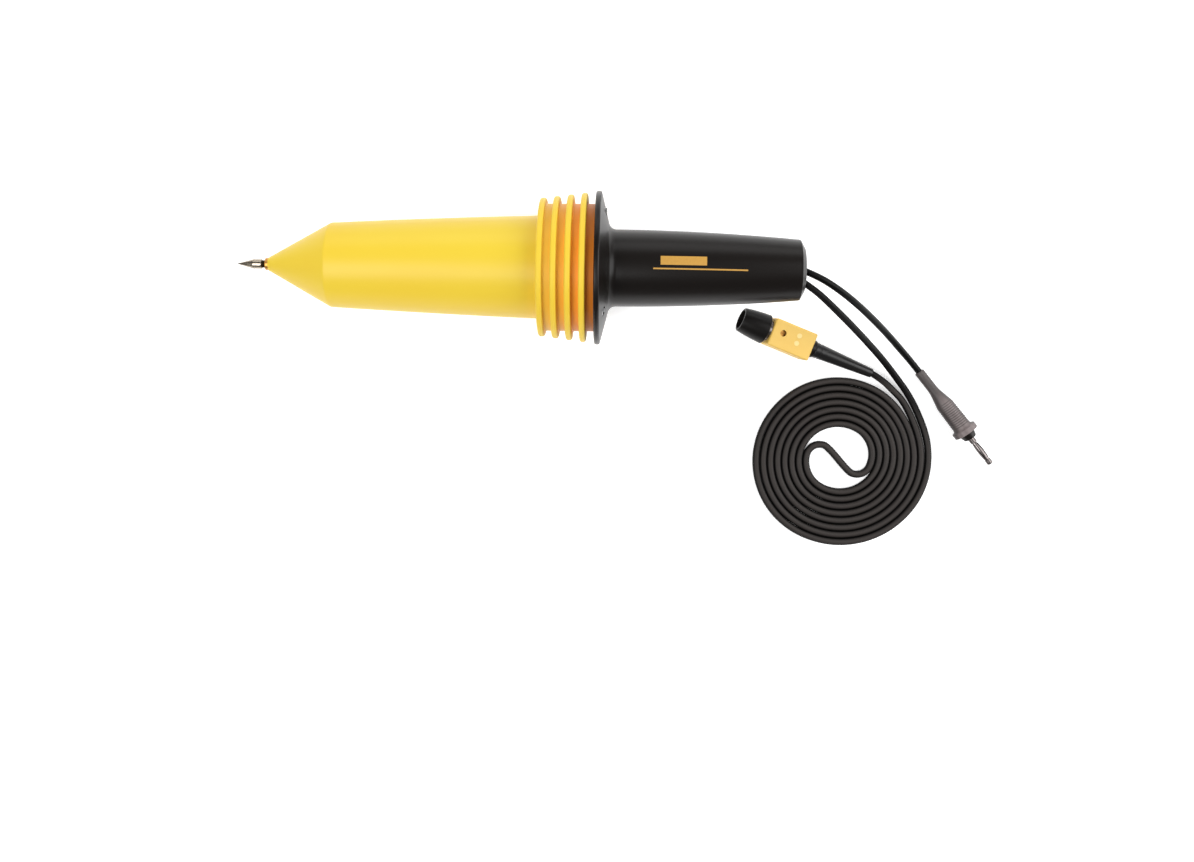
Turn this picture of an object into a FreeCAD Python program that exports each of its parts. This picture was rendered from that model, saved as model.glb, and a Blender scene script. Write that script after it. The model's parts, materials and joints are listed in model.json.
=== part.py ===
"""High-voltage oscilloscope probe: barrel and handle, coax lead with its compensation box, ground lead.

The probe lies nose down on a bench. +X runs from the needle to the cable end, +Y to the left of it,
+Z up from the bench, and the origin is under the middle of the probe body. Millimetres and degrees.
"""
import FreeCAD, Part
import math
import os

from FreeCAD import Placement, Rotation, Vector

# Fits
running_gap = 0.08  # radial, between pieces that turn on each other
slip_gap = 0.1  # radial, between pieces that are pushed together once
loose_gap = 0.4  # radial, round pieces that hang in a bore

# Screw-in needle and its brass socket
tip_cone_length = 9.6
tip_shank_radius = 2.85
tip_shank_length = 5.2
tip_neck_length = 2.2
tip_stud_radius = 1.95
tip_stud_length = 9.0
tip_point_radius = 0.25
socket_lip_radius = 3.6
socket_lip_length = 2.0
socket_body_radius = 2.9
socket_length = 22.0
socket_bore_depth = 11.0

# Yellow nose cone and barrel, one moulding
nose_face_radius = 3.9
cone_half_angle = 28.8
shoulder_radius = 25.0
shoulder_round = 3.0
barrel_length = 122.8
barrel_rear_radius = 29.85
barrel_bow = 0.3
barrel_wall = 3.5
nose_block_length = 24.0
spigot_length = 12.0
spigot_radius = 27.0

# High-voltage divider inside the barrel
input_rod_radius = 1.2
resistor_radius = 6.5
resistor_start = 48.0
resistor_length = 148.0
cap_wall = 0.7
cap_length = 9.0
sleeve_wall = 2.0
sleeve_overhang = 9.0
spider_thickness = 4.0
front_spider_at = 62.0
rear_spider_at = 172.0
screen_radius = 18.5
screen_wall = 1.0
bulkhead_thickness = 4.0
output_lead_radius = 0.5
output_lead_length = 48.0

# Finned guard collar
disc_count = 4
disc_pitch = 7.9
disc_thickness = 3.4
disc_round = 1.2
first_disc_radius = 40.1
last_disc_radius = 42.9
hub_radius = 36.7
hub_tail = 4.85
collar_bore_radius = 26.0
gasket_inner_radius = 28.5
gasket_outer_radius = 31.0
gasket_thickness = 1.2

# Black handle with its flange
flange_radius = 44.2
flange_rim = 3.0
flange_front_round = 1.0
flange_rear_round = 1.2
flange_cone_rise = 5.3
neck_radius = 22.15
neck_fillet = 4.5
neck_run = 6.7
handle_length = 114.0
handle_end_radius = 17.3
handle_bow = 1.0
handle_wall = 2.8
cap_socket_depth = 9.0
cap_socket_wall = 2.4
handle_roll = 11.0  # the handle is turned this far towards +Y

# Three screws through the flange into the collar
screw_circle_radius = 33.5
screw_angles = (60.0, 180.0, 300.0)
flange_screw_radius = 1.45
flange_screw_head_radius = 2.75
flange_screw_head_height = 2.2
flange_screw_reach = 10.0
screw_seat_depth = 3.0

# End cap, with two slanted holes for the leads
end_cap_height = 3.2
end_cap_flat_radius = 12.6
end_cap_spigot = 8.0
end_cap_wall = 3.0
cable_radius = 1.95
cable_height = -2.6  # of both leads, from the handle's axis
lead_slant = {"signal": 32.0, "ground": 24.0}
lead_mouth_y = {"signal": -6.4, "ground": 0.4}
lead_joint_depth = 2.2  # from the end cap's face in to where a free lead meets its tail
tail_start_back = 33.0
tail_bend_back = 11.0

# Divider board in the handle
board_length = 86.0
board_half_width = 11.5
board_thickness = 1.6
board_rear_gap = 2.0  # to the end cap's spigot
boss_radius = 3.0
boss_from_rear = (32.0, 76.0)
board_screw_radius = 1.0
board_screw_head_radius = 2.0
board_screw_head_height = 1.3
board_screw_reach = 5.0
clamp_length = 6.0
clamp_from_rear = 6.0
clamp_wall = 1.5
clamp_foot = 5.0
terminal_length = 5.0
terminal_tongue = (4.0, 2.0, 0.8)
terminal_riser = (2.0, 1.6)
# Parts on the board: (from its front end, aside, length, width, height), then round ones
# (from its front end, aside, radius, height)
board_blocks = ((26.0, 6.5, 8.0, 7.0, 4.0), (25.0, -7.0, 6.0, 6.0, 3.0), (38.0, -6.0, 8.0, 6.0, 2.5))
board_cans = ((38.0, 6.0, 3.2, 6.0), (48.0, -6.0, 2.5, 5.0))

# Bayonet plug under its black shroud; stations run back from the mouth
shroud_length = 16.6
shroud_front_radius = 7.3
shroud_rear_radius = 9.1
shroud_bow = 0.25
shroud_round = 0.7
mouth_radius = 5.9
mouth_length = 3.5
bayonet_radius = 4.95
bayonet_outer_radius = 6.4
bayonet_length = 11.0
bayonet_flange = 1.8
bayonet_pocket_radius = 5.6
bayonet_pocket_depth = 3.0
bayonet_slot_radius = 1.15
bayonet_entry = 2.6
bayonet_rise = 2.3
bayonet_turn = 62.0
bayonet_steps = 8
body_neck_radius = 4.6
contact_radius = 4.05
contact_wall = 0.5
contact_start = 4.2
contact_slots = 4
contact_slot_width = 0.6
body_shoulder_radius = 5.4
body_shoulder_length = 1.0
spring_washer_height = 1.2
spring_washer_sheet = 0.3
thrust_washer_thickness = 0.5
body_flange_radius = 6.2
body_flange_thickness = 1.6
shroud_rear_gap = 0.4
body_thread_radius = 4.5
body_thread_length = 3.4
core_bore_radius = 2.2
centre_pin_radius = 0.68
centre_pin_start = 5.2
bnc_nut_radius = 5.6
bnc_nut_thickness = 1.4

# Compensation box
box_length = 26.7
box_half_width = 8.55
box_half_height = 7.4
box_wall = 2.0
box_lid_wall = 1.6
box_round = 1.0
box_split_height = 3.6
box_seam_width = 0.35
box_seam_depth = 0.25
trimmer_along = 6.7  # from the box's front face
trimmer_aside = 1.3
trimmer_port_radius = 1.95
trimmer_body_radius = 2.7
trimmer_rotor_radius = 1.75
trimmer_rotor_height = 1.7
trimmer_pivot_radius = 0.9
trimmer_pivot_length = 2.5
trimmer_body_top = 3.2
port_plug_along = 16.4
port_plug_aside = (3.5, -1.3)
port_plug_radius = 1.5
port_plug_depth = 0.8
comp_board_top = -2.3
comp_board_thickness = 1.2
comp_board_blocks = ((3.0, -3.5, 3.0, 2.0, 1.2), (3.0, 3.0, 3.0, 2.0, 1.2))
comp_board_cans = ((6.7, -3.5, 1.6, 4.0),)
box_post_inset = 1.8
box_post_aside = 4.8
box_post_radius = 1.6
box_screw_radius = 0.8
box_screw_head_radius = 1.5
box_screw_head_height = 1.0

# Strain relief behind the box
boot_nut_radius = 5.4
boot_nut_length = 3.0
boot_nut_lip = 0.7
gland_radius = 3.6
boot_spigot_radius = 2.9
boot_length = 38.4
boot_front_radius = 4.8
boot_rear_radius = 2.8
boot_groove = (2.6, 3.8)  # from its front
boot_groove_depth = 0.5

# Ground plug; stations run forward from the lead
grip_tail_radius = 2.9
grip_tail_length = 14.5
grip_swell_at = 25.0
grip_swell_radius = 5.2
grip_front_radius = 5.6
grip_length = 45.8
grip_flange_radius = 7.5
grip_flange_thickness = 3.4
grip_edge_round = 0.5
grip_rib_count = 10
grip_rib_pitch = 1.35
grip_rib_depth = 0.3
grip_lead_depth = 22.0
plug_insulator_radii = (5.0, 3.7)
plug_insulator_length = 4.0
plug_pin_length = 19.0
plug_pin_radius = 2.0
plug_pin_collar = 3.0
plug_stem_radius = 1.5
plug_core_radius = 1.1
plug_nose_radius = 1.85
plug_nose_length = 3.2
plug_leaf_sheet = 0.25
plug_leaf_slot = 0.8
plug_leaf_count = 4

# Places on the bench, from the middle of the probe body
connector_mouth = (137.6, -27.6)
connector_heading = -21.2
plug_tail = (247.9, -57.6)
plug_heading = -52.7
coil_centre = (202.2, -113.5)

# Double-wound coil: two arms in step, joined by an S in the middle
coil_pitch = 4.33  # from strand to strand
coil_first_radius = 17.6
coil_oval = 8.5
coil_quarter_angle = 150.0  # where the first quarter of a turn starts
coil_shift = (-4.47, 0.57)  # of the first quarter's centre
coil_bend_radius = 8.2  # of the S
inner_arm_start = 168.0
outer_arm_start = 335.0
inner_arm_end = 30.0
outer_arm_end = 25.0
inner_arm_turns = 4
outer_arm_turns = 5

# Free leads, chosen points from the handle to where they end
signal_out_route = [
    (181.8, -21.2, 53.6),
    (197.0, -32.2, 40.5),
    (210.3, -41.7, 25.0),
    (222.3, -50.6, 11.6),
    (232.7, -60.3, 3.7),
]
signal_in_route = [(234.1, -68.2, 2.5)]
ground_route = [
    (182.0, -9.8, 54.2),
    (196.0, -18.3, 44.6),
    (210.0, -26.3, 30.5),
    (221.9, -34.6, 17.0),
    (232.8, -43.4, 7.0),
]
# Runs in line with what a lead meets
handle_straight = 10.0
coil_straight = {"out": 12.0, "in": 7.5}
boot_straight = 8.5
plug_straight = 9.0

# Stations along the probe's axis, from the needle's point
shank_at = tip_cone_length
neck_at = shank_at + tip_shank_length
lip_at = neck_at + tip_neck_length
nose_at = lip_at + socket_lip_length
cone_slope = math.tan(math.radians(cone_half_angle))
shoulder_at = nose_at + (shoulder_radius - nose_face_radius) / cone_slope
collar_at = shoulder_at + barrel_length
flange_at = collar_at + (disc_count - 1) * disc_pitch + disc_thickness + hub_tail
seam_at = flange_at + handle_length
end_at = seam_at + end_cap_height
handle_bore_front = neck_radius - handle_wall
handle_bore_rear = handle_end_radius - handle_wall
cap_socket_radius = handle_end_radius - cap_socket_wall
board_end = seam_at - end_cap_spigot - board_rear_gap
board_top = cable_height - cable_radius

X_AXIS = Vector(1, 0, 0)
Z_AXIS = Vector(0, 0, 1)
nodes = {}


def rod(start, end, radius):
    """A round bar along X."""
    return Part.makeCylinder(radius, end - start, Vector(start, 0, 0), X_AXIS)


def ring(start, end, outer, inner):
    """A tube along X."""
    return rod(start, end, outer).cut(rod(start, end, inner))


def block(x, y, z):
    """A box from pairs of limits."""
    return Part.makeBox(x[1] - x[0], y[1] - y[0], z[1] - z[0], Vector(x[0], y[0], z[0]))


def post(x, y, z, radius):
    """An upright round bar between two heights."""
    return Part.makeCylinder(radius, z[1] - z[0], Vector(x, y, z[0]))


def corner_arc(before, corner, after, radius):
    """Start, middle and end of the arc that rounds a corner."""
    back, on = (before - corner).normalize(), (after - corner).normalize()
    half = back.getAngle(on) / 2
    reach = radius / math.tan(half)
    inward = (back + on).normalize()
    middle = corner + inward * (radius / math.sin(half) - radius)
    return corner + back * reach, middle, corner + on * reach


def turned(outline):
    """A solid of revolution about X. The outline is a closed list of (x, radius) or, for a rounded
    corner, (x, radius, rounding); ("bow", x, radius) is a point that an arc goes through."""
    corners = [p for p in outline if p[0] != "bow"]
    points = [Vector(p[0], p[1], 0) for p in corners]
    bows = {}
    for i, p in enumerate(outline):
        if p[0] == "bow":
            bows[sum(1 for q in outline[:i] if q[0] != "bow") - 1] = Vector(p[1], p[2], 0)
    spans = []
    for i, p in enumerate(corners):
        if len(p) == 3:
            spans.append(corner_arc(points[i - 1], points[i], points[(i + 1) % len(points)], p[2]))
        else:
            spans.append((points[i], None, points[i]))
    edges = []
    for i, (enter, middle, leave) in enumerate(spans):
        if middle is not None:
            edges.append(Part.Arc(enter, middle, leave).toShape())
        following = spans[(i + 1) % len(spans)][0]
        if i in bows:
            edges.append(Part.Arc(leave, bows[i], following).toShape())
        else:
            edges.append(Part.LineSegment(leave, following).toShape())
    face = Part.Face(Part.Wire(edges))
    return face.revolve(Vector(0, 0, 0), X_AXIS, 360)


def rounded(solid, radius, circles):
    """The solid with its round edges at the given (x, radius) filleted."""
    chosen = []
    for edge in solid.Edges:
        curve = edge.Curve
        if not isinstance(curve, Part.Circle):
            continue
        for x, circle_radius in circles:
            if abs(curve.Center.x - x) < 0.01 and abs(curve.Radius - circle_radius) < 0.01:
                chosen.append(edge)
    return solid.makeFillet(radius, chosen)


def between(x, start, end):
    """The radius at x on the line from start to end, both (x, radius)."""
    return start[1] + (end[1] - start[1]) * (x - start[0]) / (end[0] - start[0])


def turn_about_axis(shape, angle):
    """The shape turned about the probe's axis."""
    return shape.transformed(Placement(Vector(), Rotation(X_AXIS, angle)).toMatrix())


def route_wire(points):
    """Straight runs joined by arcs as large as the runs allow, and the arcs' radii."""
    radii, edges, here = [], [], points[0]
    for before, corner, after in zip(points, points[1:], points[2:]):
        shorter = min((corner - before).Length, (after - corner).Length)
        turn = (corner - before).getAngle(after - corner)
        radius = 0.45 * shorter / math.tan(turn / 2)
        enter, middle, leave = corner_arc(before, corner, after, radius)
        edges.append(Part.LineSegment(here, enter).toShape())
        edges.append(Part.Arc(enter, middle, leave).toShape())
        radii.append(radius)
        here = leave
    edges.append(Part.LineSegment(here, points[-1]).toShape())
    return Part.Wire(edges), radii


def swept(wire, start, heading):
    """A round cable along a wire."""
    section = Part.Wire([Part.makeCircle(cable_radius, start, heading)])
    return wire.makePipeShell([section], True, False)


def cable(name, points):
    """A free stretch of cable along a route."""
    wire, radii = route_wire(points)
    solid = swept(wire, points[0], points[1] - points[0])
    ratio = solid.Volume / (math.pi * cable_radius**2 * wire.Length)
    print(f"{name}: length {wire.Length:.1f}, radii {[round(r, 1) for r in radii]}, volume ratio {ratio:.4f}")
    nodes[name] = solid
    return wire.Length


def make_needle():
    """The screw-in needle and the brass socket that carries it."""
    stud_end = lip_at + tip_stud_length
    nodes["probe_tip"] = turned([
        (0, 0),
        (0, tip_point_radius),
        (shank_at, tip_shank_radius),
        (neck_at, tip_shank_radius, 0.4),
        (neck_at, tip_stud_radius),
        (stud_end, tip_stud_radius),
        (stud_end, 0),
    ])
    bore = tip_stud_radius + running_gap / 2
    nodes["tip_socket"] = turned([
        (lip_at, bore),
        (lip_at, socket_lip_radius, 0.5),
        (nose_at, socket_lip_radius),
        (nose_at, socket_body_radius),
        (lip_at + socket_length, socket_body_radius),
        (lip_at + socket_length, 0),
        (lip_at + socket_bore_depth, 0),
        (lip_at + socket_bore_depth, bore),
    ])


spigot_end = collar_at + spigot_length
inner_shoulder = (shoulder_at, shoulder_radius - barrel_wall)
inner_rear = (spigot_end, spigot_radius - barrel_wall + 0.5)


def make_barrel():
    """The yellow nose cone and barrel, hollow behind the nose."""
    block_end = nose_at + nose_block_length
    outer_here = nose_face_radius + cone_slope * nose_block_length
    wall_across = barrel_wall / math.cos(math.radians(cone_half_angle))
    middle = (shoulder_at + collar_at) / 2
    bore = socket_body_radius + slip_gap / 2
    shell = turned([
        (nose_at, bore),
        (nose_at, nose_face_radius),
        (shoulder_at, shoulder_radius),
        ("bow", middle, (shoulder_radius + barrel_rear_radius) / 2 + barrel_bow),
        (collar_at, barrel_rear_radius),
        (collar_at, spigot_radius),
        (spigot_end, spigot_radius),
        inner_rear,
        inner_shoulder,
        (block_end, outer_here - wall_across),
        (block_end, bore),
    ])
    nodes["barrel_shell"] = rounded(shell, shoulder_round, [(shoulder_at, shoulder_radius)])


def make_divider():
    """The high-voltage resistor with its caps, sleeve, screen and supports."""
    end = resistor_start + resistor_length
    cap_outer = resistor_radius + cap_wall
    cap_bore = resistor_radius + slip_gap / 2
    cap_floor = 2.0
    nodes["input_rod"] = rod(lip_at + socket_length, resistor_start - cap_floor, input_rod_radius)
    nodes["divider_resistor"] = rod(resistor_start, end, resistor_radius)
    front_cap = rod(resistor_start - cap_floor, resistor_start + cap_length, cap_outer)
    nodes["resistor_front_cap"] = front_cap.cut(rod(resistor_start, resistor_start + cap_length, cap_bore))
    rear_cap = rod(end - cap_length, end + cap_floor, cap_outer)
    nodes["resistor_rear_cap"] = rear_cap.cut(rod(end - cap_length, end, cap_bore))
    sleeve_inner = cap_outer + loose_gap
    sleeve_outer = sleeve_inner + sleeve_wall
    sleeve = (resistor_start + sleeve_overhang, end - sleeve_overhang)
    nodes["insulating_sleeve"] = ring(sleeve[0], sleeve[1], sleeve_outer, sleeve_inner)
    for name, at in (("front_spider", front_spider_at), ("rear_spider", rear_spider_at)):
        outer = between(at, inner_shoulder, inner_rear) - slip_gap
        nodes[name] = ring(at, at + spider_thickness, outer, sleeve_outer + slip_gap)
    screen = (front_spider_at + spider_thickness, rear_spider_at)
    nodes["screen_tube"] = ring(screen[0], screen[1], screen_radius, screen_radius - screen_wall)
    bulkhead = (spigot_end, spigot_end + bulkhead_thickness)
    nodes["rear_bulkhead"] = ring(*bulkhead, collar_bore_radius - slip_gap, cap_outer + slip_gap)
    lead_start = end + cap_floor
    lead_end = lead_start + output_lead_length
    lead = rod(lead_start, lead_end, output_lead_radius)
    down = post(lead_end, 0, (board_top, 0), output_lead_radius)
    knee = Part.makeSphere(output_lead_radius, Vector(lead_end, 0, 0))
    nodes["output_lead"] = lead.fuse([down, knee]).removeSplitter()


def make_collar():
    """The finned guard collar, bored for the barrel's spigot, with its gasket."""
    outline = [(collar_at, spigot_radius + slip_gap / 2)]
    step = (last_disc_radius - first_disc_radius) / (disc_count - 1)
    for i in range(disc_count):
        front = collar_at + i * disc_pitch
        radius = first_disc_radius + i * step
        if i:
            outline.append((front, hub_radius, 0.5))
        outline.append((front, radius, disc_round))
        outline.append((front + disc_thickness, radius, disc_round))
        outline.append((front + disc_thickness, hub_radius, 0.5))
    outline += [
        (flange_at, hub_radius),
        (flange_at, gasket_outer_radius),
        (flange_at - gasket_thickness, gasket_outer_radius),
        (flange_at - gasket_thickness, gasket_inner_radius),
        (flange_at, gasket_inner_radius),
        (flange_at, collar_bore_radius),
        (spigot_end, collar_bore_radius),
        (spigot_end, spigot_radius + slip_gap / 2),
    ]
    collar = turned(outline)
    pilot = rod(flange_at - flange_screw_reach, flange_at, flange_screw_radius + slip_gap / 2)
    collar = collar.cut(Part.makeCompound(at_screws(pilot)))
    nodes["guard_collar"] = collar
    nodes["flange_gasket"] = ring(
        flange_at - gasket_thickness, flange_at,
        gasket_outer_radius - slip_gap, gasket_inner_radius + slip_gap,
    )


def at_screws(shape):
    """Copies of a shape from the axis, one at each flange screw."""
    copies = []
    for angle in screw_angles:
        copy = shape.copy()
        copy.translate(Vector(0, 0, screw_circle_radius))
        copies.append(turn_about_axis(copy, angle))
    return copies


def make_handle():
    """The black handle and flange, one moulding, with its bosses and screw holes."""
    bow_start = flange_at + flange_rim + flange_cone_rise + neck_run
    middle = (bow_start + seam_at) / 2
    socket_at = seam_at - cap_socket_depth
    shell = turned([
        (flange_at, handle_bore_front),
        (flange_at, flange_radius, flange_front_round),
        (flange_at + flange_rim, flange_radius, flange_rear_round),
        (flange_at + flange_rim + flange_cone_rise, neck_radius, neck_fillet),
        (bow_start, neck_radius),
        ("bow", middle, (neck_radius + handle_end_radius) / 2 + handle_bow),
        (seam_at, handle_end_radius),
        (seam_at, cap_socket_radius),
        (socket_at, cap_socket_radius),
        (socket_at, handle_bore_rear),
        (bow_start, handle_bore_front),
    ])
    for back in boss_from_rear:
        x = board_end - back
        wall = between(x, (bow_start, handle_bore_front), (socket_at, handle_bore_rear))
        underside = board_top - board_thickness
        boss = post(x, 0, (-wall - handle_wall / 2, underside), boss_radius)
        hole = (underside - board_screw_reach, underside)
        shell = shell.fuse(boss).cut(post(x, 0, hole, board_screw_radius + slip_gap / 2))
    seat = flange_at + screw_seat_depth
    clear = rod(flange_at - 1, seat + 1, flange_screw_radius + slip_gap)
    counterbore = rod(seat, seat + 6, flange_screw_head_radius + slip_gap)
    shell = shell.cut(Part.makeCompound(at_screws(clear.fuse(counterbore))))
    nodes["handle_shell"] = shell.removeSplitter()
    head = rod(seat, seat + flange_screw_head_height, flange_screw_head_radius)
    head = head.cut(rod(seat + 1.0, seat + flange_screw_head_height, flange_screw_radius))
    shank = rod(flange_at - flange_screw_reach + 0.5, seat, flange_screw_radius)
    nodes["flange_screws"] = Part.makeCompound(at_screws(head.fuse(shank).removeSplitter()))


def lead_points(which):
    """Start, bend and joint of a lead's tail, and its mouth on the end cap, in the handle's frame."""
    slope = math.tan(math.radians(lead_slant[which]))
    mouth = Vector(end_at, lead_mouth_y[which], cable_height)
    joint = mouth + Vector(-lead_joint_depth, lead_joint_depth * slope, 0)
    bend = mouth + Vector(-tail_bend_back, tail_bend_back * slope, 0)
    start = Vector(end_at - tail_start_back, bend.y, cable_height)
    return start, bend, joint, mouth


def make_end_cap():
    """The end cap, with its slanted lead holes, and the leads' tails inside the handle."""
    cap = turned([
        (seam_at - end_cap_spigot, end_cap_flat_radius - slip_gap),
        (seam_at - end_cap_spigot, cap_socket_radius - slip_gap / 2),
        (seam_at, cap_socket_radius - slip_gap / 2),
        (seam_at, handle_end_radius - slip_gap),
        (seam_at + 0.7, handle_end_radius - slip_gap, 0.4),
        (end_at, end_cap_flat_radius, 1.2),
        (end_at, 0),
        (end_at - end_cap_wall, 0),
        (end_at - end_cap_wall, end_cap_flat_radius - slip_gap),
    ])
    for which in ("signal", "ground"):
        start, bend, joint, mouth = lead_points(which)
        along = (mouth - joint).normalize()
        drill = Part.makeCylinder(cable_radius + slip_gap, 3 * tail_bend_back, joint - along * 9, along)
        cap = cap.cut(drill)
        wire, _ = route_wire([start, bend, joint])
        nodes[which + "_tail"] = swept(wire, start, X_AXIS)
    nodes["end_cap"] = cap


def make_board():
    """The divider board in the handle, with its parts, screws, clamp and terminals."""
    underside = board_top - board_thickness
    start = board_end - board_length
    board = block((start, board_end), (-board_half_width, board_half_width), (underside, board_top))
    screws = []
    for back in boss_from_rear:
        x = board_end - back
        board = board.cut(post(x, 0, (underside, board_top), board_screw_radius + slip_gap))
        shank = post(x, 0, (underside - board_screw_reach + 0.5, board_top), board_screw_radius)
        top = (board_top, board_top + board_screw_head_height)
        screws.append(shank.fuse(post(x, 0, top, board_screw_head_radius)).removeSplitter())
    nodes["board_screws"] = Part.makeCompound(screws)
    clamp_end = board_end - clamp_from_rear
    clamp_start = clamp_end - clamp_length
    ys = [lead_points(which)[0].y for which in ("signal", "ground")]
    sides = (min(ys) - cable_radius - clamp_foot, max(ys) + cable_radius + clamp_foot)
    top = cable_height + cable_radius + clamp_wall
    clamp = block((clamp_start, clamp_end), sides, (board_top, top))
    for y in ys:
        channel = rod(clamp_start, clamp_end, cable_radius + slip_gap)
        channel.translate(Vector(0, y, cable_height))
        clamp = clamp.cut(channel)
    clamp = clamp.cut(block((clamp_start, clamp_end), (ys[0], ys[1]), (board_top, cable_height)))
    clamp_screws = []
    for y in (sides[0] + clamp_foot / 2, sides[1] - clamp_foot / 2):
        x = (clamp_start + clamp_end) / 2
        hole = post(x, y, (underside, top), board_screw_radius + slip_gap)
        clamp, board = clamp.cut(hole), board.cut(hole)
        shank = post(x, y, (underside - 1.0, top), board_screw_radius)
        head = post(x, y, (top, top + board_screw_head_height), board_screw_head_radius)
        clamp_screws.append(shank.fuse(head).removeSplitter())
    nodes["cable_clamp"] = clamp
    nodes["clamp_screws"] = Part.makeCompound(clamp_screws)
    nodes["divider_board"] = board
    terminals = []
    for y in ys:
        at = end_at - tail_start_back
        barrel = rod(at - terminal_length, at, cable_radius)
        barrel.translate(Vector(0, y, cable_height))
        out = math.copysign(1.0, y)
        root = at - terminal_length
        tongue_y = sorted((y, y + out * terminal_tongue[1]))
        tongue_z = (board_top, board_top + terminal_tongue[2])
        tongue = block((root - terminal_tongue[0], root), tongue_y, tongue_z)
        half_x, half_y = terminal_riser[0] / 2, terminal_riser[1] / 2
        riser = block((root - half_x, root + half_x), (y - half_y, y + half_y), (board_top, cable_height))
        terminals.append(barrel.fuse([tongue, riser]).removeSplitter())
    nodes["lead_terminals"] = Part.makeCompound(terminals)
    nodes["board_parts"] = Part.makeCompound(parts_on(board_blocks, board_cans, start, board_top))


def parts_on(blocks, cans, start, top):
    """Components that stand on a board."""
    solids = []
    for along, aside, length, width, height in blocks:
        x, half = start + along, width / 2
        ends = (x - length / 2, x + length / 2)
        solids.append(block(ends, (aside - half, aside + half), (top, top + height)))
    for along, aside, radius, height in cans:
        solids.append(post(start + along, aside, (top, top + height), radius))
    return solids


def make_bayonet():
    """The bayonet plug: shroud and coupling turn on the body, which the box carries."""
    sleeve_end = mouth_length + bayonet_length
    flange_front = sleeve_end - bayonet_flange
    pocket_front = flange_front - bayonet_pocket_depth
    pocket = bayonet_outer_radius + slip_gap / 2
    nodes["bnc_shroud"] = turned([
        (0, mouth_radius),
        (0, shroud_front_radius),
        ("bow", shroud_length / 2, (shroud_front_radius + shroud_rear_radius) / 2 + shroud_bow),
        (shroud_length, shroud_rear_radius),
        (shroud_length, pocket),
        (mouth_length, pocket),
        (mouth_length, mouth_radius),
    ])
    nodes["bnc_shroud"] = rounded(
        nodes["bnc_shroud"], shroud_round, [(0, shroud_front_radius), (shroud_length, shroud_rear_radius)]
    )
    neck_bore = body_neck_radius + running_gap
    sleeve = turned([
        (mouth_length, bayonet_radius),
        (mouth_length, bayonet_outer_radius),
        (sleeve_end, bayonet_outer_radius),
        (sleeve_end, neck_bore),
        (flange_front, neck_bore),
        (flange_front, bayonet_pocket_radius),
        (pocket_front, bayonet_pocket_radius),
        (pocket_front, bayonet_radius),
    ])
    for cutter in bayonet_cutters():
        sleeve = sleeve.cut(cutter)
    nodes["bnc_coupling_sleeve"] = sleeve
    washer_rear = flange_front - running_gap
    washer_front = washer_rear - thrust_washer_thickness
    shoulder_end = washer_front - spring_washer_height
    shoulder_at_front = shoulder_end - body_shoulder_length
    flange_at_rear = shroud_length + shroud_rear_gap
    box_at = flange_at_rear + body_flange_thickness
    contact_bore = contact_radius - contact_wall
    insulator_floor = shoulder_at_front - 0.5
    body = turned([
        (contact_start, contact_bore),
        (contact_start, contact_radius, 0.2),
        (shoulder_at_front, contact_radius),
        (shoulder_at_front, body_shoulder_radius),
        (shoulder_end, body_shoulder_radius),
        (shoulder_end, body_neck_radius),
        (flange_at_rear, body_neck_radius),
        (flange_at_rear, body_flange_radius, 0.3),
        (box_at, body_flange_radius),
        (box_at, body_thread_radius),
        (box_at + body_thread_length, body_thread_radius),
        (box_at + body_thread_length, core_bore_radius),
        (insulator_floor, core_bore_radius),
        (insulator_floor, contact_bore),
    ])
    for i in range(contact_slots):
        slot = block(
            (contact_start - 1, insulator_floor - 0.6),
            (-contact_slot_width / 2, contact_slot_width / 2),
            (0, contact_radius + 1),
        )
        body = body.cut(turn_about_axis(slot, 360 * i / contact_slots))
    nodes["bnc_body"] = body
    pin_hole = centre_pin_radius + slip_gap / 4
    tail_end = box_at + body_thread_length
    insulator = rod(contact_start + 2.0, insulator_floor, contact_bore - slip_gap / 2)
    insulator = insulator.fuse(rod(insulator_floor, tail_end, core_bore_radius - slip_gap / 2))
    nodes["bnc_insulator"] = insulator.cut(rod(0, tail_end, pin_hole)).removeSplitter()
    nodes["bnc_centre_pin"] = turned([
        (centre_pin_start, 0),
        (centre_pin_start, centre_pin_radius, 0.4),
        (tail_end, centre_pin_radius),
        (tail_end, 0),
    ])
    washer_bore = body_neck_radius + slip_gap
    nodes["bnc_thrust_washer"] = ring(washer_front, washer_rear, body_shoulder_radius, washer_bore)
    nodes["bnc_spring_washer"] = turned([
        (shoulder_end, washer_bore),
        (washer_front - spring_washer_sheet, body_shoulder_radius),
        (washer_front, body_shoulder_radius),
        (shoulder_end + spring_washer_sheet, washer_bore),
    ])
    nut_at = box_at + box_wall
    nut = ring(nut_at, nut_at + bnc_nut_thickness, bnc_nut_radius, body_thread_radius + slip_gap / 4)
    nodes["bnc_nut"] = nut


def bayonet_cutters():
    """Cutters for the two bayonet slots: straight in, then round and back to a rest for the lug."""
    entry_end = mouth_length + bayonet_entry
    reach = bayonet_outer_radius + 1
    half = bayonet_slot_radius
    entry = block((mouth_length - 1, entry_end), (-half, half), (0, reach))
    cutters = []
    for side in (0, 180):
        cutters.append(turn_about_axis(entry, side))
        for i in range(bayonet_steps + 1):
            share = i / bayonet_steps
            lug = Part.makeCylinder(half, reach, Vector(entry_end + bayonet_rise * share, 0, 0), Z_AXIS)
            cutters.append(turn_about_axis(lug, side + bayonet_turn * share))
    return cutters


box_at = shroud_length + shroud_rear_gap + body_flange_thickness
box_end = box_at + box_length


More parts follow.
